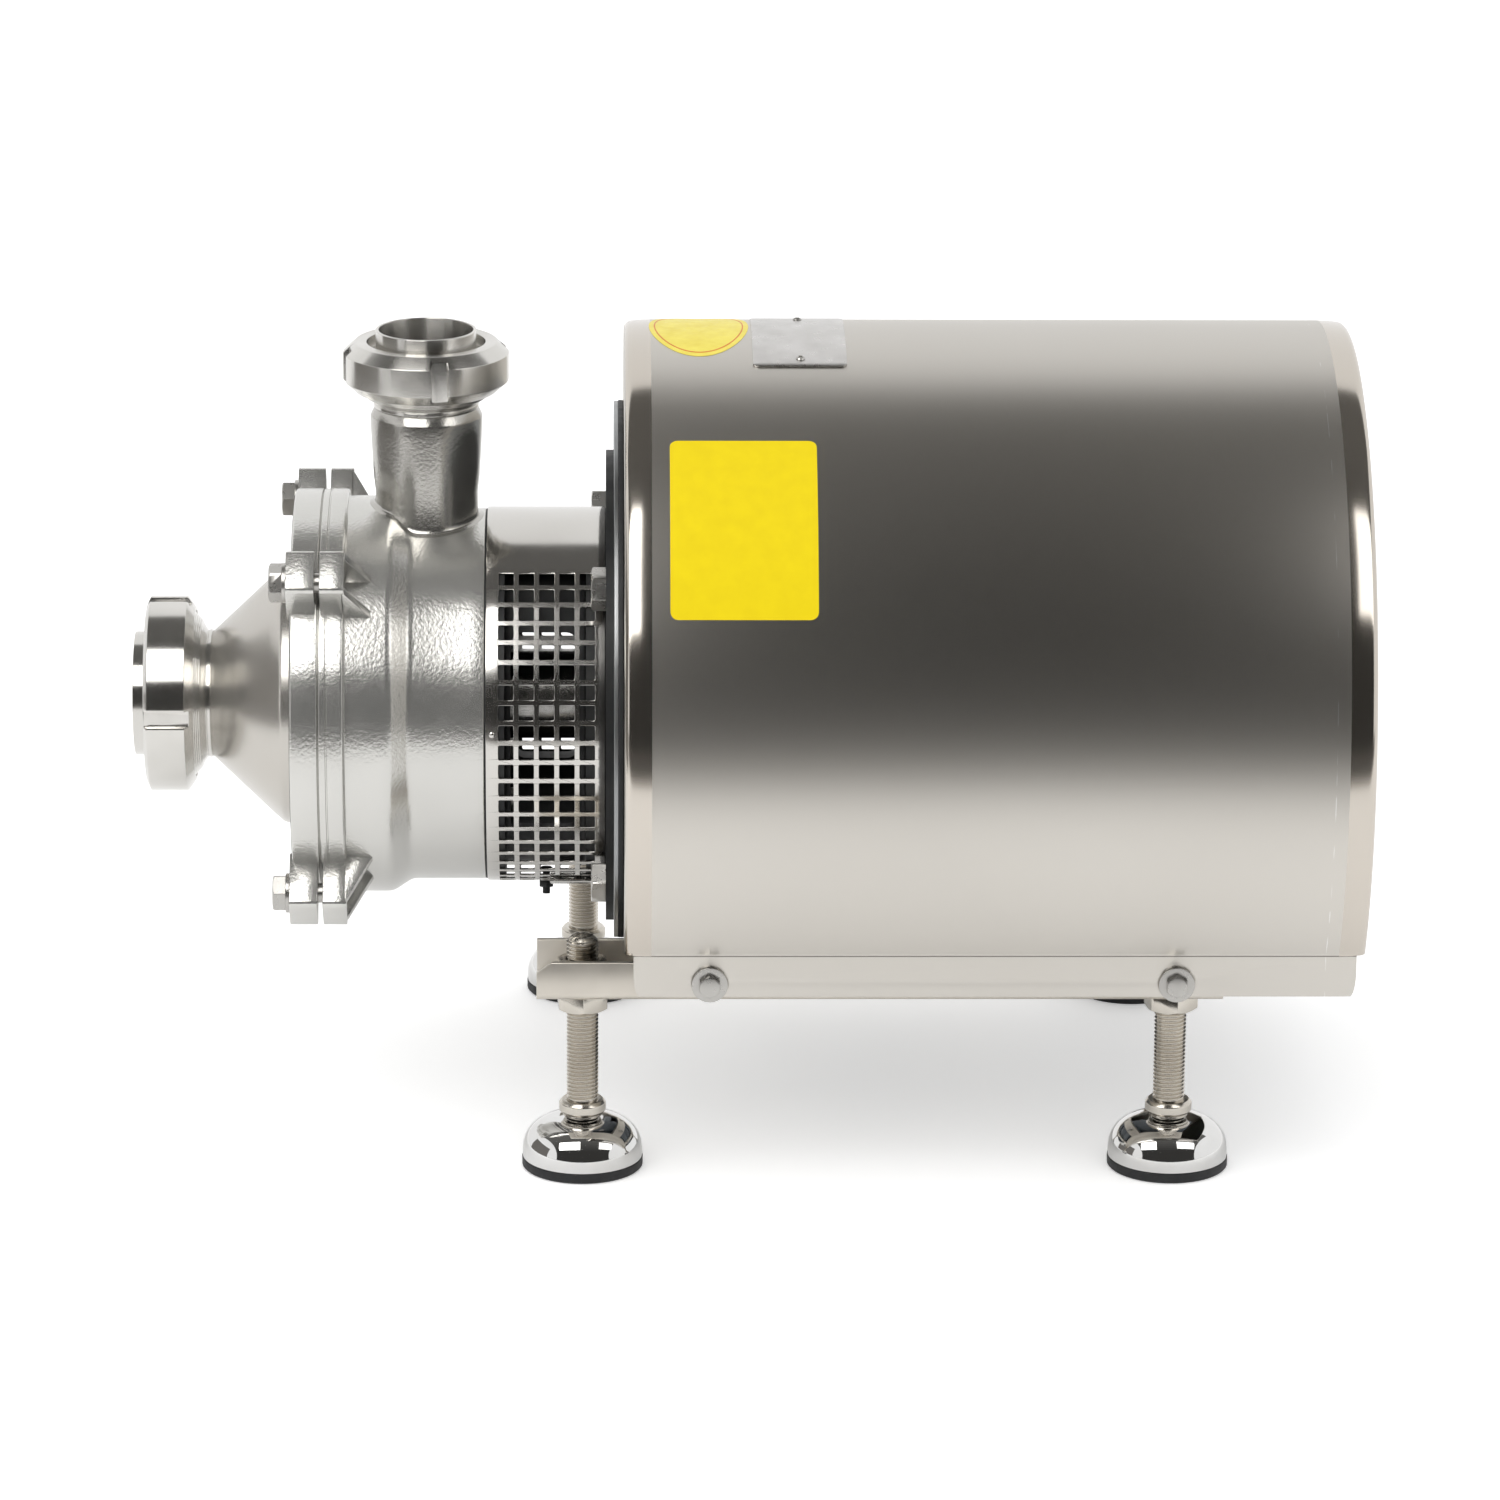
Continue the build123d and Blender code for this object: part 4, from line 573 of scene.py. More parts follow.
def bolt(name, flats, head, shank, length):
    pieces = [hexBar(name, flats, 0, head), turned("shank", [
        (0, 0.5, 0), (shank, 0.5, 0), (shank, -length + 1, 0), (shank - 1, -length, 0), (0, -length, 0)],
        Matrix.Identity(4), 32)]
    return joined(name, pieces)


def washer(name, outer, inner, thickness):
    return turned(name, [(inner, 0, 0.15), (inner, -thickness, 0.15), (outer, -thickness, 0.3), (outer, 0, 0.3)],
                  Matrix.Identity(4), 64)


def spread4(name, node, masters, places, material=boltSteel):
    copies = [copyTo(master, place) for place in places for master in masters]
    for master in masters:
        bpy.data.objects.remove(master)
    return hand(joined(name, copies), node, material, smooth=30)


spread4("coverBolts", "cover_bolts", [bolt("m10Bolt", 17, 6.6, 5, 29), washer("m10Washer", 10, 5.1, 2.0)],
        [facingFront(-17.6, 115, angle) for angle in diagonals])
m12Nut = copyTo(hexBar("m12NutBlank", 19, 0, 10, True, True, 6.1), Matrix.Translation((0, 0, -0.028)))
bpy.data.objects.remove(bpy.data.objects["m12NutBlank"])
spread4("flangeBolts", "flange_bolts", [bolt("m12Bolt", 19, 7.5, 6, 31), m12Nut],
        [facingFront(144, 109, angle) for angle in diagonals])
lanternPlaces = [Matrix.Translation(at(93, 62 * cos(radians(angle)), 62 * sin(radians(angle)))) @ turnAbout("X", angle)
                 @ turnAbout("Y", 90) for angle in diagonals]
spread4("lanternBolts", "lantern_bolts", [bolt("m8Bolt", 13, 5.3, 4, 14)], lanternPlaces)
spread4("shroudBolts", "shroud_bolts", [bolt("m6Bolt", 10, 4, 3, 7.5), washer("m6Washer", 9, 3.1, 1.5)],
        [Matrix.Translation(at(x, side * 161.5, -103.5)) @ turnAbout("X", -90 * side)
         for side in (-1, 1) for x in (195.5, 427.7)])
print("bolts made")

# Mesh guard: a line along the shaft spun round, its squares taken out

guard = {"radius": 96.0, "start": 83.7, "end": 143.6, "hole": 7.6, "pitch": 10.2, "columns": 5, "first": 6.4,
         "rows": 48}
rowAngle = guard["pitch"] / guard["radius"]
holeAngle = guard["hole"] / guard["radius"]
rows = guard["rows"]
firstAngle = radians(270) - (rows - 1) / 2 * rowAngle - holeAngle / 2
holeStarts = [guard["start"] + guard["first"] + guard["pitch"] * column for column in range(guard["columns"])]
stations = [guard["start"]] + [x for start in holeStarts for x in (start, start + guard["hole"])] + [guard["end"]]
line = [Vector((x, guard["radius"] * cos(firstAngle), guard["radius"] * sin(firstAngle))) / 1000 for x in stations]
mesh = startPoint("meshGuard", line[0])
drawLine(line)
bpy.ops.mesh.select_all(action="SELECT")


def spinOn(angle, steps):
    # spin turns against the sign of its angle
    bpy.ops.mesh.spin(steps=steps, angle=-angle, center=(0, 0, 0), axis=(1, 0, 0))


for row in range(rows):
    spinOn(holeAngle, 2)
    if row < rows - 1:
        spinOn(rowAngle - holeAngle, 1)
spinOn(2 * pi - (rows - 1) * rowAngle - holeAngle, 32)
mergeAll()
bpy.ops.mesh.select_all(action="DESELECT")
bpy.ops.object.mode_set(mode="OBJECT")


def inRow(angle, slack):
    # whether an angle about the shaft lies in a row of holes
    offset = (angle - firstAngle) % (2 * pi)
    row = int((offset + slack) / rowAngle)
    return row < rows and -slack <= offset - row * rowAngle <= holeAngle + slack


def guardAngle(point):
    return atan2(point.z, point.y)


def isCorner(point):
    onX = min(abs(point.x * 1000 - x) for x in stations[1:-1]) < 0.01
    offset = (guardAngle(point) - firstAngle) % (2 * pi)
    onRow = min(offset % rowAngle, abs(offset % rowAngle - holeAngle), abs(offset % rowAngle - rowAngle)) < 0.0005
    return onX and onRow and inRow(guardAngle(point), 0.0005)


for vertex in mesh.data.vertices:
    vertex.select = isCorner(vertex.co)
bpy.ops.object.mode_set(mode="EDIT")
bpy.ops.mesh.bevel(offset=0.0009, segments=3, affect="VERTICES")
bpy.ops.mesh.select_all(action="DESELECT")
bpy.ops.object.mode_set(mode="OBJECT")
for face in mesh.data.polygons:
    inColumn = any(start + 1.5 < face.center.x * 1000 < start + guard["hole"] - 1.5 for start in holeStarts)
    face.select = inColumn and inRow(guardAngle(face.center), -0.01)
bpy.context.tool_settings.mesh_select_mode = (False, False, True)
bpy.ops.object.mode_set(mode="EDIT")
bpy.ops.mesh.delete(type="FACE")
bpy.ops.object.mode_set(mode="OBJECT")
bpy.context.tool_settings.mesh_select_mode = (True, False, False)
bpy.ops.object.mode_set(mode="EDIT")
closeMesh(mesh)
settle(mesh, Matrix.Translation(at(0, 0, 0)))
useModifier(mesh, "SOLIDIFY", {"thickness": 0.001, "offset": -1.0})
soften(mesh, 0.38, 2, 60)
rivet = copyTo(turned("rivetHead", [(0, 0, 0), (1.6, 0, 0.1), (1.6, 0.4, 0.2), (0.9, 0.9, 0.4), (0, 1.0, 0)],
                      Matrix.Identity(4), 32), Matrix.Translation(at(87.0, -95.6, 6.4)) @ turnAbout("X", 90))
bpy.data.objects.remove(bpy.data.objects["rivetHead"])
hand(joined("meshGuard", [mesh, rivet]), "mesh_guard", guardSteel)


def sheetArc(name, xRange, angles, reach, thickness, steps=12):
    # a strip of sheet round the shaft, angles in degrees from the near side's level line over the top
    start, end = radians(180 - angles[0]), radians(180 - angles[1])
    line = [Vector((x, reach * cos(start), reach * sin(start))) / 1000 for x in xRange]
    strip = startPoint(name, line[0])
    drawLine(line)
    bpy.ops.mesh.select_all(action="SELECT")
    spinOn(end - start, steps)
    closeMesh(strip)
    settle(strip, Matrix.Translation(at(0, 0, 0)))
    useModifier(strip, "SOLIDIFY", {"thickness": thickness / 1000, "offset": 0.0})
    return soften(strip, 0.15, 2, 50)


# the guard's ends lap under the pump and a small screw with a wing of bent sheet holds them
lap = sheetArc("guardLap", (115.5, 139.0), (-92, -62), 97.4, 1.0)
hand(lap, "mesh_guard", guardSteel, stands=False)
screwPlace = Matrix.Translation(at(113.5, 0, 0)) @ turnAbout("X", 80) @ Matrix.Translation((0, -0.096, 0)) @ turnAbout(
    "X", 90)
screw = joined("guardScrew", [
    rod("screwShank", 1.9, -4.0, 7.6, Matrix.Identity(4), 24),
    hexBar("screwNut", 7, 0.9, 4.1, True, True),
    turned("screwHead", [(0, -6.6, 0), (2.4, -6.4, 0.6), (3.6, -5.2, 0.6), (3.6, -4.0, 0.2), (0, -4.0, 0)],
           Matrix.Identity(4), 32)])
hand(settle(screw, screwPlace), "mesh_guard", lanternIron, stands=False)
print("guard made")

# Front plate and rubber rim, cut flat above the rails


def cutBelow(piece, level):
    pick(piece)
    bpy.ops.object.mode_set(mode="EDIT")
    bpy.ops.mesh.select_all(action="SELECT")
    bpy.ops.mesh.bisect(plane_co=at(0, 0, level), plane_no=(0, 0, 1), clear_inner=True, use_fill=True)
    closeMesh(piece)
    return piece


plate = turnedShaft("frontPlate", [(148, 150, 0.5), (150, 150, 0), (150, 90.1, 0), (148, 90.1, 0.2)])
hand(cutBelow(plate, -92.5), "front_plate", plateSteel)
rim = turnedShaft("rimRubber", [(150, 141, 0.3), (150, 150.5, 0.9), (153, 150.5, 0.9), (153, 141, 0.3)])
hand(cutBelow(rim, -92.5), "rim_rubber", rubber)

# Shroud: drum spun from its profile, cut at the bend, walls pulled down to the tabs

shroud = {"front": 153.0, "rear": 521.6, "radius": 185.98, "centre": 6.02, "bend": -88.8, "bottom": -110.0,
          "round": 4.0, "mouth": 141.0, "band": 13.5, "crown": 1.1, "sheet": 1.5, "setback": 4.6, "tabRound": 12.0}
drumPlace = Matrix.Translation(at(0, 0, shroud["centre"])) @ turnAbout("Y", 90)
front, rear, radius = shroud["front"], shroud["rear"], shroud["radius"]
setback = shroud["setback"]
crown = [(step, shroud["crown"] * (1 - step / shroud["band"]) ** 2) for step in (shroud["band"], 10.5, 7.5, setback)]
profile = [(shroud["mouth"], front, 0), (radius - shroud["crown"], front, shroud["round"])]
profile += [(radius - drop, front + step, 0) for step, drop in reversed(crown)]
profile += [(radius - drop, rear - step, 0) for step, drop in crown]
profile += [(radius - shroud["crown"], rear, shroud["round"]), (0, rear, 0)]
points = [Vector((p.x / 1000, 0, p.y / 1000)) for p in roundedOutline(profile, closed=False)]
drum = startPoint("shroudDrum", points[0])
drawLine(points)
mergeAll()
bpy.ops.mesh.spin(steps=180, angle=2 * pi, center=(0, 0, 0), axis=(0, 0, 1))
closeMesh(drum)
settle(drum, drumPlace)
# the mouth keeps its circle about the shaft, 6 mm under the drum's centre
pick(drum)
for vertex in drum.data.vertices:
    spot = (vertex.co - at(0, 0, shroud["centre"])) * 1000
    if abs(sqrt(spot.y**2 + spot.z**2) - shroud["mouth"]) < 0.01 and spot.x < front + 1:
        vertex.co.z -= shroud["centre"] / 1000
bpy.ops.object.mode_set(mode="EDIT")
bpy.ops.mesh.select_all(action="SELECT")
bpy.ops.mesh.bisect(plane_co=at(0, 0, shroud["bend"]), plane_no=(0, 0, 1), clear_inner=True)
bpy.ops.mesh.select_all(action="DESELECT")
bpy.ops.object.mode_set(mode="OBJECT")
bendZ = at(0, 0, shroud["bend"]).z
firstX, lastX = at(front + setback, 0, 0).x - 1e-4, at(rear - setback, 0, 0).x + 1e-4
for edge in drum.data.edges:
    ends = [drum.data.vertices[v].co for v in edge.vertices]
    edge.select = all(abs(v.z - bendZ) < 1e-5 and abs(v.y) > 0.158 and firstX < v.x < lastX for v in ends)
bpy.context.tool_settings.mesh_select_mode = (False, True, False)
bpy.ops.object.mode_set(mode="EDIT")
wallDrop = shroud["bend"] - shroud["bottom"]
bpy.ops.mesh.extrude_edges_move(TRANSFORM_OT_translate={"value": (0, 0, -wallDrop / 1000)})
bpy.ops.object.mode_set(mode="OBJECT")
bottomZ = at(0, 0, shroud["bottom"]).z
for edge in drum.data.edges:
    edge.select = False
for vertex in drum.data.vertices:
    onEnd = min(abs(vertex.co.x - at(front + setback, 0, 0).x), abs(vertex.co.x - at(rear - setback, 0, 0).x)) < 1e-4
    vertex.select = onEnd and abs(vertex.co.z - bottomZ) < 1e-5
bpy.context.tool_settings.mesh_select_mode = (True, False, False)
bpy.ops.object.mode_set(mode="EDIT")
bpy.ops.mesh.bevel(offset=shroud["tabRound"] / 1000, segments=6, affect="VERTICES")
mergeAll()
bpy.ops.mesh.normals_make_consistent(inside=False)
bpy.ops.object.mode_set(mode="OBJECT")
useModifier(drum, "SOLIDIFY", {"thickness": shroud["sheet"] / 1000, "offset": -1.0, "use_even_offset": True})
for x in (195.5, 427.7):
    for side in (-1, 1):
        wall = sorted((side * 150, side * 165))
        combine(drum, block("slotTool", (x - 3.5, wall[0], -115), (x + 3.5, wall[1], -103.5)))
        combine(drum, rod("slotEnd", 3.5, -8, 8, Matrix.Translation(at(x, side * 159, -103.5)) @ turnAbout("X", 90), 32))
soften(drum, 0.25, 2, 60)
drum.data.materials.clear()
thinMark(sheetSteel, "Z", bendZ, 0.35, "#4c4741", 0.7)  # painted shade: a dark line along the fold above the tabs
thinMark(sheetSteel, "X", at(501.5, 0, 0).x, 0.2, "#ffffff", 0.6, 14)  # a long faint scratch
drum.data.materials.append(sheetSteel)
drum.data.materials.append(bandSteel)
bandEnds = at(front + shroud["band"], 0, 0).x, at(rear - shroud["band"], 0, 0).x
for face in drum.data.polygons:
    onBand = not bandEnds[0] < face.center.x < bandEnds[1]
    face.material_index = 1 if onBand and face.center.z > bendZ - 1e-4 and abs(face.normal.x) < 0.9 else 0
hand(drum, "shroud", None)
print("shroud made")


# Curved plates and films on the drum, spun about its axis

def drumPatch(name, xRange, angles, height, thickness, corner):
    # angles in degrees from the near side's level line over the top; corners rounded, then given a thickness
    start, end = radians(180 - angles[0]), radians(180 - angles[1])
    reach = (radius + height) / 1000
    margin = corner * 1.4
    xs = (xRange[0], xRange[0] + margin, xRange[1] - margin, xRange[1])
    line = [Vector((x / 1000, reach * cos(start), reach * sin(start))) for x in xs]
    patch = startPoint(name, line[0])
    drawLine(line)
    bpy.ops.mesh.select_all(action="SELECT")
    small = -margin / 1000 / reach
    spinOn(small, 1)
    spinOn(end - start - 2 * small, 36)
    spinOn(small, 1)
    mergeAll()
    bpy.ops.mesh.select_all(action="DESELECT")
    bpy.ops.object.mode_set(mode="OBJECT")
    tips = [Vector((x / 1000, reach * cos(a), reach * sin(a))) for x in xRange for a in (start, end)]
    for vertex in patch.data.vertices:
        vertex.select = min((vertex.co - tip).length for tip in tips) < 1e-5
    bpy.ops.object.mode_set(mode="EDIT")
    bpy.ops.mesh.bevel(offset=corner / 1000, segments=5, affect="VERTICES")
    mergeAll()
    bpy.ops.mesh.normals_make_consistent(inside=False)
    bpy.ops.object.mode_set(mode="OBJECT")
    settle(patch, Matrix.Translation(at(0, 0, shroud["centre"])))
    outwards = patch.data.polygons[0].normal.dot(patch.data.polygons[0].center - at(200, 0, shroud["centre"])) > 0
    return useModifier(patch, "SOLIDIFY", {"thickness": thickness / 1000, "offset": -1.0 if outwards else 1.0})


warning = drumPatch("yellowFilm", (175.3, 247.8), (25.7, 56.1), 0.16, 0.12, 4)
hand(warning, "shroud", yellowFilm, stands=False)


def ovalPatch(name, half, height, thickness, hole=None):
    # an oval of film near the top of the drum, cut out of a patch by upright oval bars
    patch = drumPatch(name, (oval["x"] - 28, oval["x"] + 28), (74, 110), height, thickness, 2)
    middle = Matrix.Translation(at(oval["x"], -radius * cos(radians(oval["angle"])), 0))
    for tool, size, operation in (("outerTool", half, "INTERSECT"), ("innerTool", hole, "DIFFERENCE")):
        if size:
            shape = rod(tool, 1000, 100, 260, Matrix.Identity(4), 96)
            stretch = Matrix.Diagonal((size[0] / 1000, size[1] / 1000, 1, 1))
            combine(patch, settle(shape, middle @ stretch), operation)
    return patch


oval = {"x": 190.8, "angle": 92.0}
hand(ovalPatch("ovalFilm", (25.2, 46.5), 0.16, 0.12), "shroud", paleYellowFilm, stands=False)
hand(ovalPatch("ovalLine", (22.6, 42.6), 0.24, 0.08, (22.0, 41.6)), "shroud", orangeInk, stands=False)
namePlate = drumPatch("barePlate", (217.3, 264.4), (74.1, 99.4), 1.0, 0.95, 2.5)
soften(namePlate, 0.2, 2, 50)
hand(namePlate, "shroud", plateAluminium, stands=False)
plateRivet = turned("rivetBlank", [(0, 0, 0), (2.3, 0, 0.2), (2.3, 0.4, 0.3), (1.5, 1.2, 0.5), (0.9, 1.25, 0.1),
                                   (0.9, 0.3, 0), (0, 0.3, 0)], Matrix.Identity(4), 32)
for index, angle in enumerate((76.3, 96.6)):
    rivetPlace = Matrix.Translation(at(241.2, 0, shroud["centre"])) @ turnAbout("X", -angle) @ Matrix.Translation(
        (0, -(radius + 1.0) / 1000, 0)) @ turnAbout("X", 90)
    head = copyTo(plateRivet, rivetPlace)
    head.name = "plateRivet" + str(index + 1)
    hand(head, "shroud", boltSteel, stands=False)
bpy.data.objects.remove(plateRivet)
print("plates made")

# Rails: bent channels with a cut corner

rail = {"start": 109.5, "length": 341.8, "half": 20.0, "height": 20.0, "sheet": 3.0, "top": -93.0, "centre": 138.0}
for side, node in ((-1, "rail_near"), (1, "rail_far")):
    half, low, sheet = rail["half"], -rail["height"], rail["sheet"]
    channel = [(-half, 0, 0.3), (-half, low, 4.0), (half, low, 4.0), (half, 0, 0.3), (half - sheet, 0, 0.3),
               (half - sheet, low + sheet, 1.2), (-half + sheet, low + sheet, 1.2), (-half + sheet, 0, 0.3)]
    points = [Vector((0, p.x, p.y)) / 1000 for p in roundedOutline(channel)]
    bar = startPoint("rail" + ("Near" if side < 0 else "Far"), points[0])
    drawLine(points + points[:1])
    mergeAll()
    bpy.ops.mesh.edge_face_add()
    bpy.ops.mesh.extrude_region_move(TRANSFORM_OT_translate={"value": (rail["length"] / 1000, 0, 0)})
    closeMesh(bar)
    settle(bar, Matrix.Translation(at(rail["start"], side * rail["centre"], rail["top"])))
    outer = sorted((side * (rail["centre"] + half + 2), side * (rail["centre"] + half - sheet - 0.5)))
    tilt = atan2(5.6, 7.6)
    corner = Matrix.Translation(at(rail["start"], side * (rail["centre"] + half), rail["top"] - 5.6)) @ Matrix.Rotation(
        -tilt, 4, "Y")
    combine(bar, block("cornerTool", (-20, -5, 0), (30, 5, 20), corner))
    for x in (132.3, 426.8):
        combine(bar, rod("studHole", 8.3, -30, 5, Matrix.Translation(at(x, side * rail["centre"], rail["top"]))))
    hand(soften(bar, 0.3, 2, 50), node, railSteel)
print("rails made")

# Levelling feet: threaded stud with collar and ball, chromed cup, rubber pad, two nuts

foot = {"stud": 8.0, "root": 6.85, "pitch": 2.0, "top": 122.0, "bottom": 36.0}
threadPoints = [Vector((foot["root"], 0, 0)), Vector((foot["stud"], 0, 0.8)), Vector((foot["stud"], 0, 1.1)),
                Vector((foot["root"], 0, 1.8)), Vector((foot["root"], 0, 2.0))]
thread = startPoint("studThread", threadPoints[0] / 1000)
drawLine([point / 1000 for point in threadPoints])
bpy.ops.object.mode_set(mode="OBJECT")
turnsNeeded = int((foot["top"] - foot["bottom"]) / foot["pitch"]) + 4
useModifier(thread, "SCREW", {"axis": "Z", "angle": 2 * pi, "screw_offset": foot["pitch"] / 1000,
                              "iterations": turnsNeeded, "steps": 36, "render_steps": 36,
                              "use_merge_vertices": True, "merge_threshold": 1e-6})
settle(thread, Matrix.Translation((0, 0, (foot["bottom"] - 4) / 1000)))
for level, normal in ((foot["bottom"], (0, 0, 1)), (foot["top"], (0, 0, -1))):
    pick(thread)
    bpy.ops.object.mode_set(mode="EDIT")
    bpy.ops.mesh.select_all(action="SELECT")
    bpy.ops.mesh.bisect(plane_co=(0, 0, level / 1000), plane_no=normal, clear_inner=True, use_fill=True)
    closeMesh(thread)
dome = turned("domeBlank", [(0, 30, 0), (9, 30, 0), (9, 117.5, 0), (8.1, 118.4, 2.0), (5.0, 121.4, 3.0), (0, 122.0, 0)],
              Matrix.Identity(4), 64)
combine(thread, dome, "INTERSECT")
collar = turned("studCollar", [
    (0, 36.2, 0), (7.6, 36.2, 0.3), (7.6, 35.0, 0), (10.2, 35.0, 0.6), (11.75, 33.4, 0.8), (11.75, 29.5, 0.8),
    (10.6, 28.2, 0.5), (9.75, 28.0, 0.3), (9.75, 26.5, 0.3), (6.5, 26.4, 0.3), (6.5, 21.8, 0.5), (8.4, 20.0, 0),
    (9.6, 17.3, 0), (10.0, 14.5, 0), (9.5, 11.4, 0), (7.9, 8.4, 0), (5.3, 6.0, 0), (2.0, 4.7, 0), (0, 4.5, 0)],
    Matrix.Identity(4), 64)
stud = joined("studMaster", [thread, collar])
cup = turned("cupMaster", [
    (30.0, 5.2, 0.2), (30.0, 9.0, 0), (29.6, 12.4, 0), (28.5, 15.6, 0), (26.6, 18.6, 0), (24.1, 21.0, 0),
    (20.9, 23.0, 0), (17.2, 24.3, 0), (13.5, 24.9, 0), (9.75, 25.0, 0), (8.1, 25.0, 0.4), (8.1, 20.5, 0),
    (9.0, 19.0, 0), (10.1, 14.5, 0), (10.1, 7.1, 0), (27.5, 7.1, 0), (27.5, 5.2, 0.3)], Matrix.Identity(4), 128)
pad = turned("padMaster", [
    (0, 4.4, 0), (0, 0, 0), (29.6, 0, 0), (30.3, 0.7, 0.4), (30.3, 5.0, 0.4), (27.4, 5.0, 0), (27.4, 7.0, 0),
    (9.0, 7.0, 0), (6.0, 5.3, 0), (2.5, 4.6, 0)], Matrix.Identity(4), 128)
railBottom = 206.0 - 93.0 - 20.0
nuts = joined("nutsMaster", [hexBar("upperNut", 24, railBottom + 3.05, railBottom + 16.05, True, True, 8.15),
                             hexBar("lowerNut", 24, railBottom - 10.05, railBottom - 0.05, True, True, 8.15)])
for name, x, side in (("front_near", 132.3, -1), ("front_far", 132.3, 1), ("rear_near", 426.8, -1),
                      ("rear_far", 426.8, 1)):
    place = Matrix.Translation(at(x, side * 138.0, -206.0))
    turnNut = turnAbout("Z", {"front_near": 4, "front_far": 20, "rear_near": 12, "rear_far": 33}[name])
    for master, node, material in ((stud, "foot_stud_", studSteel), (cup, "foot_cup_", chrome),
                                   (pad, "foot_pad_", rubber), (nuts, "foot_nuts_", studSteel)):
        piece = copyTo(master, place @ turnNut if master is nuts else place)
        piece.name = {"foot_stud_": "stud", "foot_cup_": "cup", "foot_pad_": "pad", "foot_nuts_": "nuts"}[node] + \
            "".join(word.capitalize() for word in name.split("_"))
        hand(piece, node + name, material)
for master in (stud, cup, pad, nuts):
    bpy.data.objects.remove(master)
print("feet made")

# Camera, from the fit to the photograph's points

camera = bpy.data.objects.new("camera", bpy.data.cameras.new("camera"))
bpy.context.scene.collection.objects.link(camera)
camera.data.lens, camera.data.sensor_width = 171.68, 36
yaw, elevation, roll = radians(1.278), radians(16.905), radians(0.395)
forward = Vector((sin(yaw) * cos(elevation), cos(yaw) * cos(elevation), -sin(elevation)))
right = Vector((cos(yaw), -sin(yaw), 0))
upward = right.cross(forward)
tilted = right * cos(roll) + upward * sin(roll), upward * cos(roll) - right * sin(roll)
axes = Matrix((tilted[0], tilted[1], -forward)).transposed().to_4x4()
camera.matrix_world = Matrix.Translation((-0.07277, -3.5232, 1.2466)) @ axes
camera.data.clip_end = 100
bpy.context.scene.camera = camera

# Floor and the studio seen in the metal

scene = bpy.context.scene
scene.view_settings.view_transform = "Standard"
world = bpy.data.worlds.new("paleStudio")
scene.world = world
world.use_nodes = True
world.cycles.sampling_method = "NONE"
tree = world.node_tree
tree.nodes.clear()
path = addNode(tree, "ShaderNodeLightPath")
seen = addNode(tree, "ShaderNodeMath", {"operation": "ADD", "use_clamp": True},
               {0: path.outputs["Is Camera Ray"], 1: path.outputs["Is Glossy Ray"]}).outputs[0]
seen = addNode(tree, "ShaderNodeMath", {"operation": "ADD", "use_clamp": True},
               {0: seen, 1: path.outputs["Is Transmission Ray"]}).outputs[0]
strength = spread(tree, seen, 0.92, 1.0, 0.0, 1.0)
background = addNode(tree, "ShaderNodeBackground", {"Color": (1, 1, 1, 1)}, {"Strength": strength})
addNode(tree, "ShaderNodeOutputWorld", links={"Surface": background.outputs["Background"]})

bpy.ops.mesh.primitive_plane_add(size=16, location=(0, 0, -0.0003))
floor = bpy.context.active_object
floor.name = "floor"
floorMaterial, tree, shader, coords = surface("whiteFloor", ("#ffffff", "#fefefe"), (0.7, 0.8), 0.0, patchMm=900)
# the lens and the metal see a floor that is lifted towards white, so its shadow stays pale
path = addNode(tree, "ShaderNodeLightPath")
seen = addNode(tree, "ShaderNodeMath", {"operation": "ADD", "use_clamp": True},
               {0: path.outputs["Is Camera Ray"], 1: path.outputs["Is Transmission Ray"]}).outputs[0]
lift = addNode(tree, "ShaderNodeMath", {"operation": "ADD"},
               {0: spread(tree, seen, 0.0, 0.35, 0.0, 1.0), 1: spread(tree, path.outputs["Is Glossy Ray"], 0, 0.1, 0, 1)})
shader.inputs["Emission Color"].default_value = (1, 1, 1, 1)
tree.links.new(lift.outputs[0], shader.inputs["Emission Strength"])
floor.data.materials.append(floorMaterial)


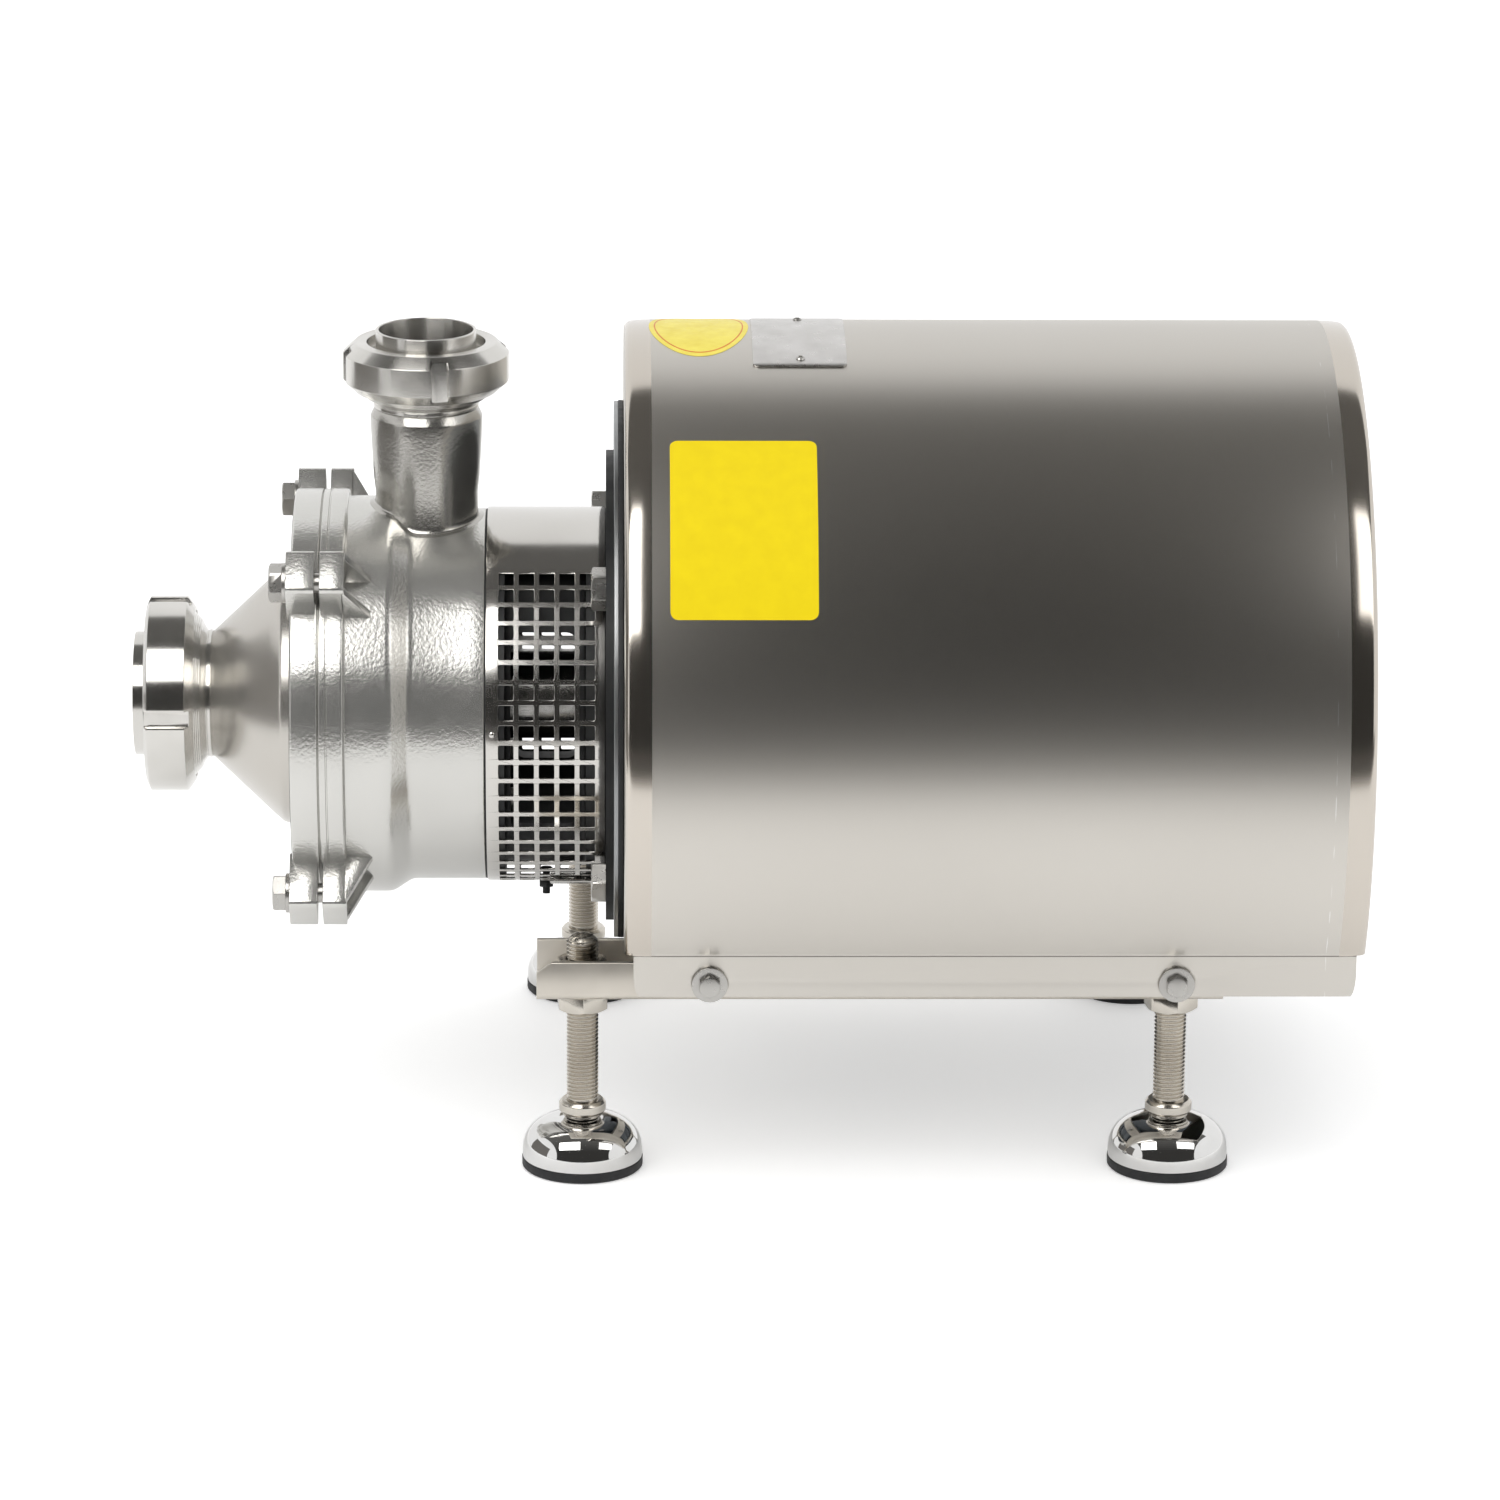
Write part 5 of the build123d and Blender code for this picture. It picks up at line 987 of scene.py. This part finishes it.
def card(name, corners, level):
    # a card that only reflections see
    vectors = [Vector(corner) for corner in corners]
    piece = startPoint(name, vectors[0])
    drawLine(vectors + vectors[:1])
    mergeAll()
    bpy.ops.mesh.edge_face_add()
    bpy.ops.object.mode_set(mode="OBJECT")
    material = bpy.data.materials.new(name)
    material.use_nodes = True
    material.cycles.emission_sampling = "NONE"
    tree = material.node_tree
    tree.nodes.clear()
    light = addNode(tree, "ShaderNodeEmission", {"Color": (*level, 1), "Strength": 1.0})
    addNode(tree, "ShaderNodeOutputMaterial", links={"Surface": light.outputs["Emission"]})
    piece.data.materials.append(material)
    piece.visible_camera = piece.visible_diffuse = piece.visible_shadow = piece.visible_transmission = False
    return piece


reach = 2.6
for angle in range(-9, 119, 8):
    before, after = radians(180 - angle), radians(172 - angle)
    level = 0.045 + 0.09 * min(1, max(0, (angle - 30) / 60))
    card("darkArch", [(x, reach * cos(a), 0.206 + reach * sin(a)) for x, a in (
        (-3, before), (3, before), (3, after), (-3, after))], (level, level * 0.98, level * 0.94))
card("leftSoftbox", [(-0.9, -0.42, 1.24), (-0.148, -0.42, 1.24), (-0.148, -0.80, 0.68), (-0.9, -0.80, 0.68)],
     (4.6, 4.56, 4.48))
for name, near, far, level in (("darkFloorEdge", -0.88, -1.06, 0.42), ("darkFloor", -1.06, -2.6, 0.1)):
    card(name, [(-3, near, 0.002), (3, near, 0.002), (3, far, 0.002), (-3, far, 0.002)],
         (level, level * 0.97, level * 0.93))
card("rightSoftbox", [(0.46, -0.42, 1.24), (1.2, -0.42, 1.24), (1.2, -0.80, 0.78), (0.46, -0.80, 0.78)],
     (2.4, 2.37, 2.33))
card("leftDarkWall", [(-1.7, -0.7, 0.0), (-1.7, 0.7, 0.0), (-1.7, 0.7, 0.85), (-1.7, -0.7, 0.85)], (0.18, 0.17, 0.16))
card("leftDarkFloor", [(-1.7, -0.7, 0.002), (-0.95, -0.7, 0.002), (-0.95, 0.7, 0.002), (-1.7, 0.7, 0.002)],
     (0.2, 0.19, 0.18))


def softLight(name, place, aim, width, power):
    data = bpy.data.lights.new(name, "AREA")
    data.shape = "RECTANGLE"
    data.size, data.size_y, data.energy = width, width * 0.7, power
    lamp = bpy.data.objects.new(name, data)
    scene.collection.objects.link(lamp)
    lamp.matrix_world = Matrix.Translation(place) @ (Vector(aim) - Vector(place)).to_track_quat("-Z", "Y").to_matrix().to_4x4()
    lamp.visible_glossy = False


softLight("topLight", (-0.4, -0.5, 2.6), (0, 0, 0.1), 2.2, 12)
softLight("frontLight", (-1.6, -2.6, 1.8), (0, 0, 0.2), 1.8, 8)
print("studio made")
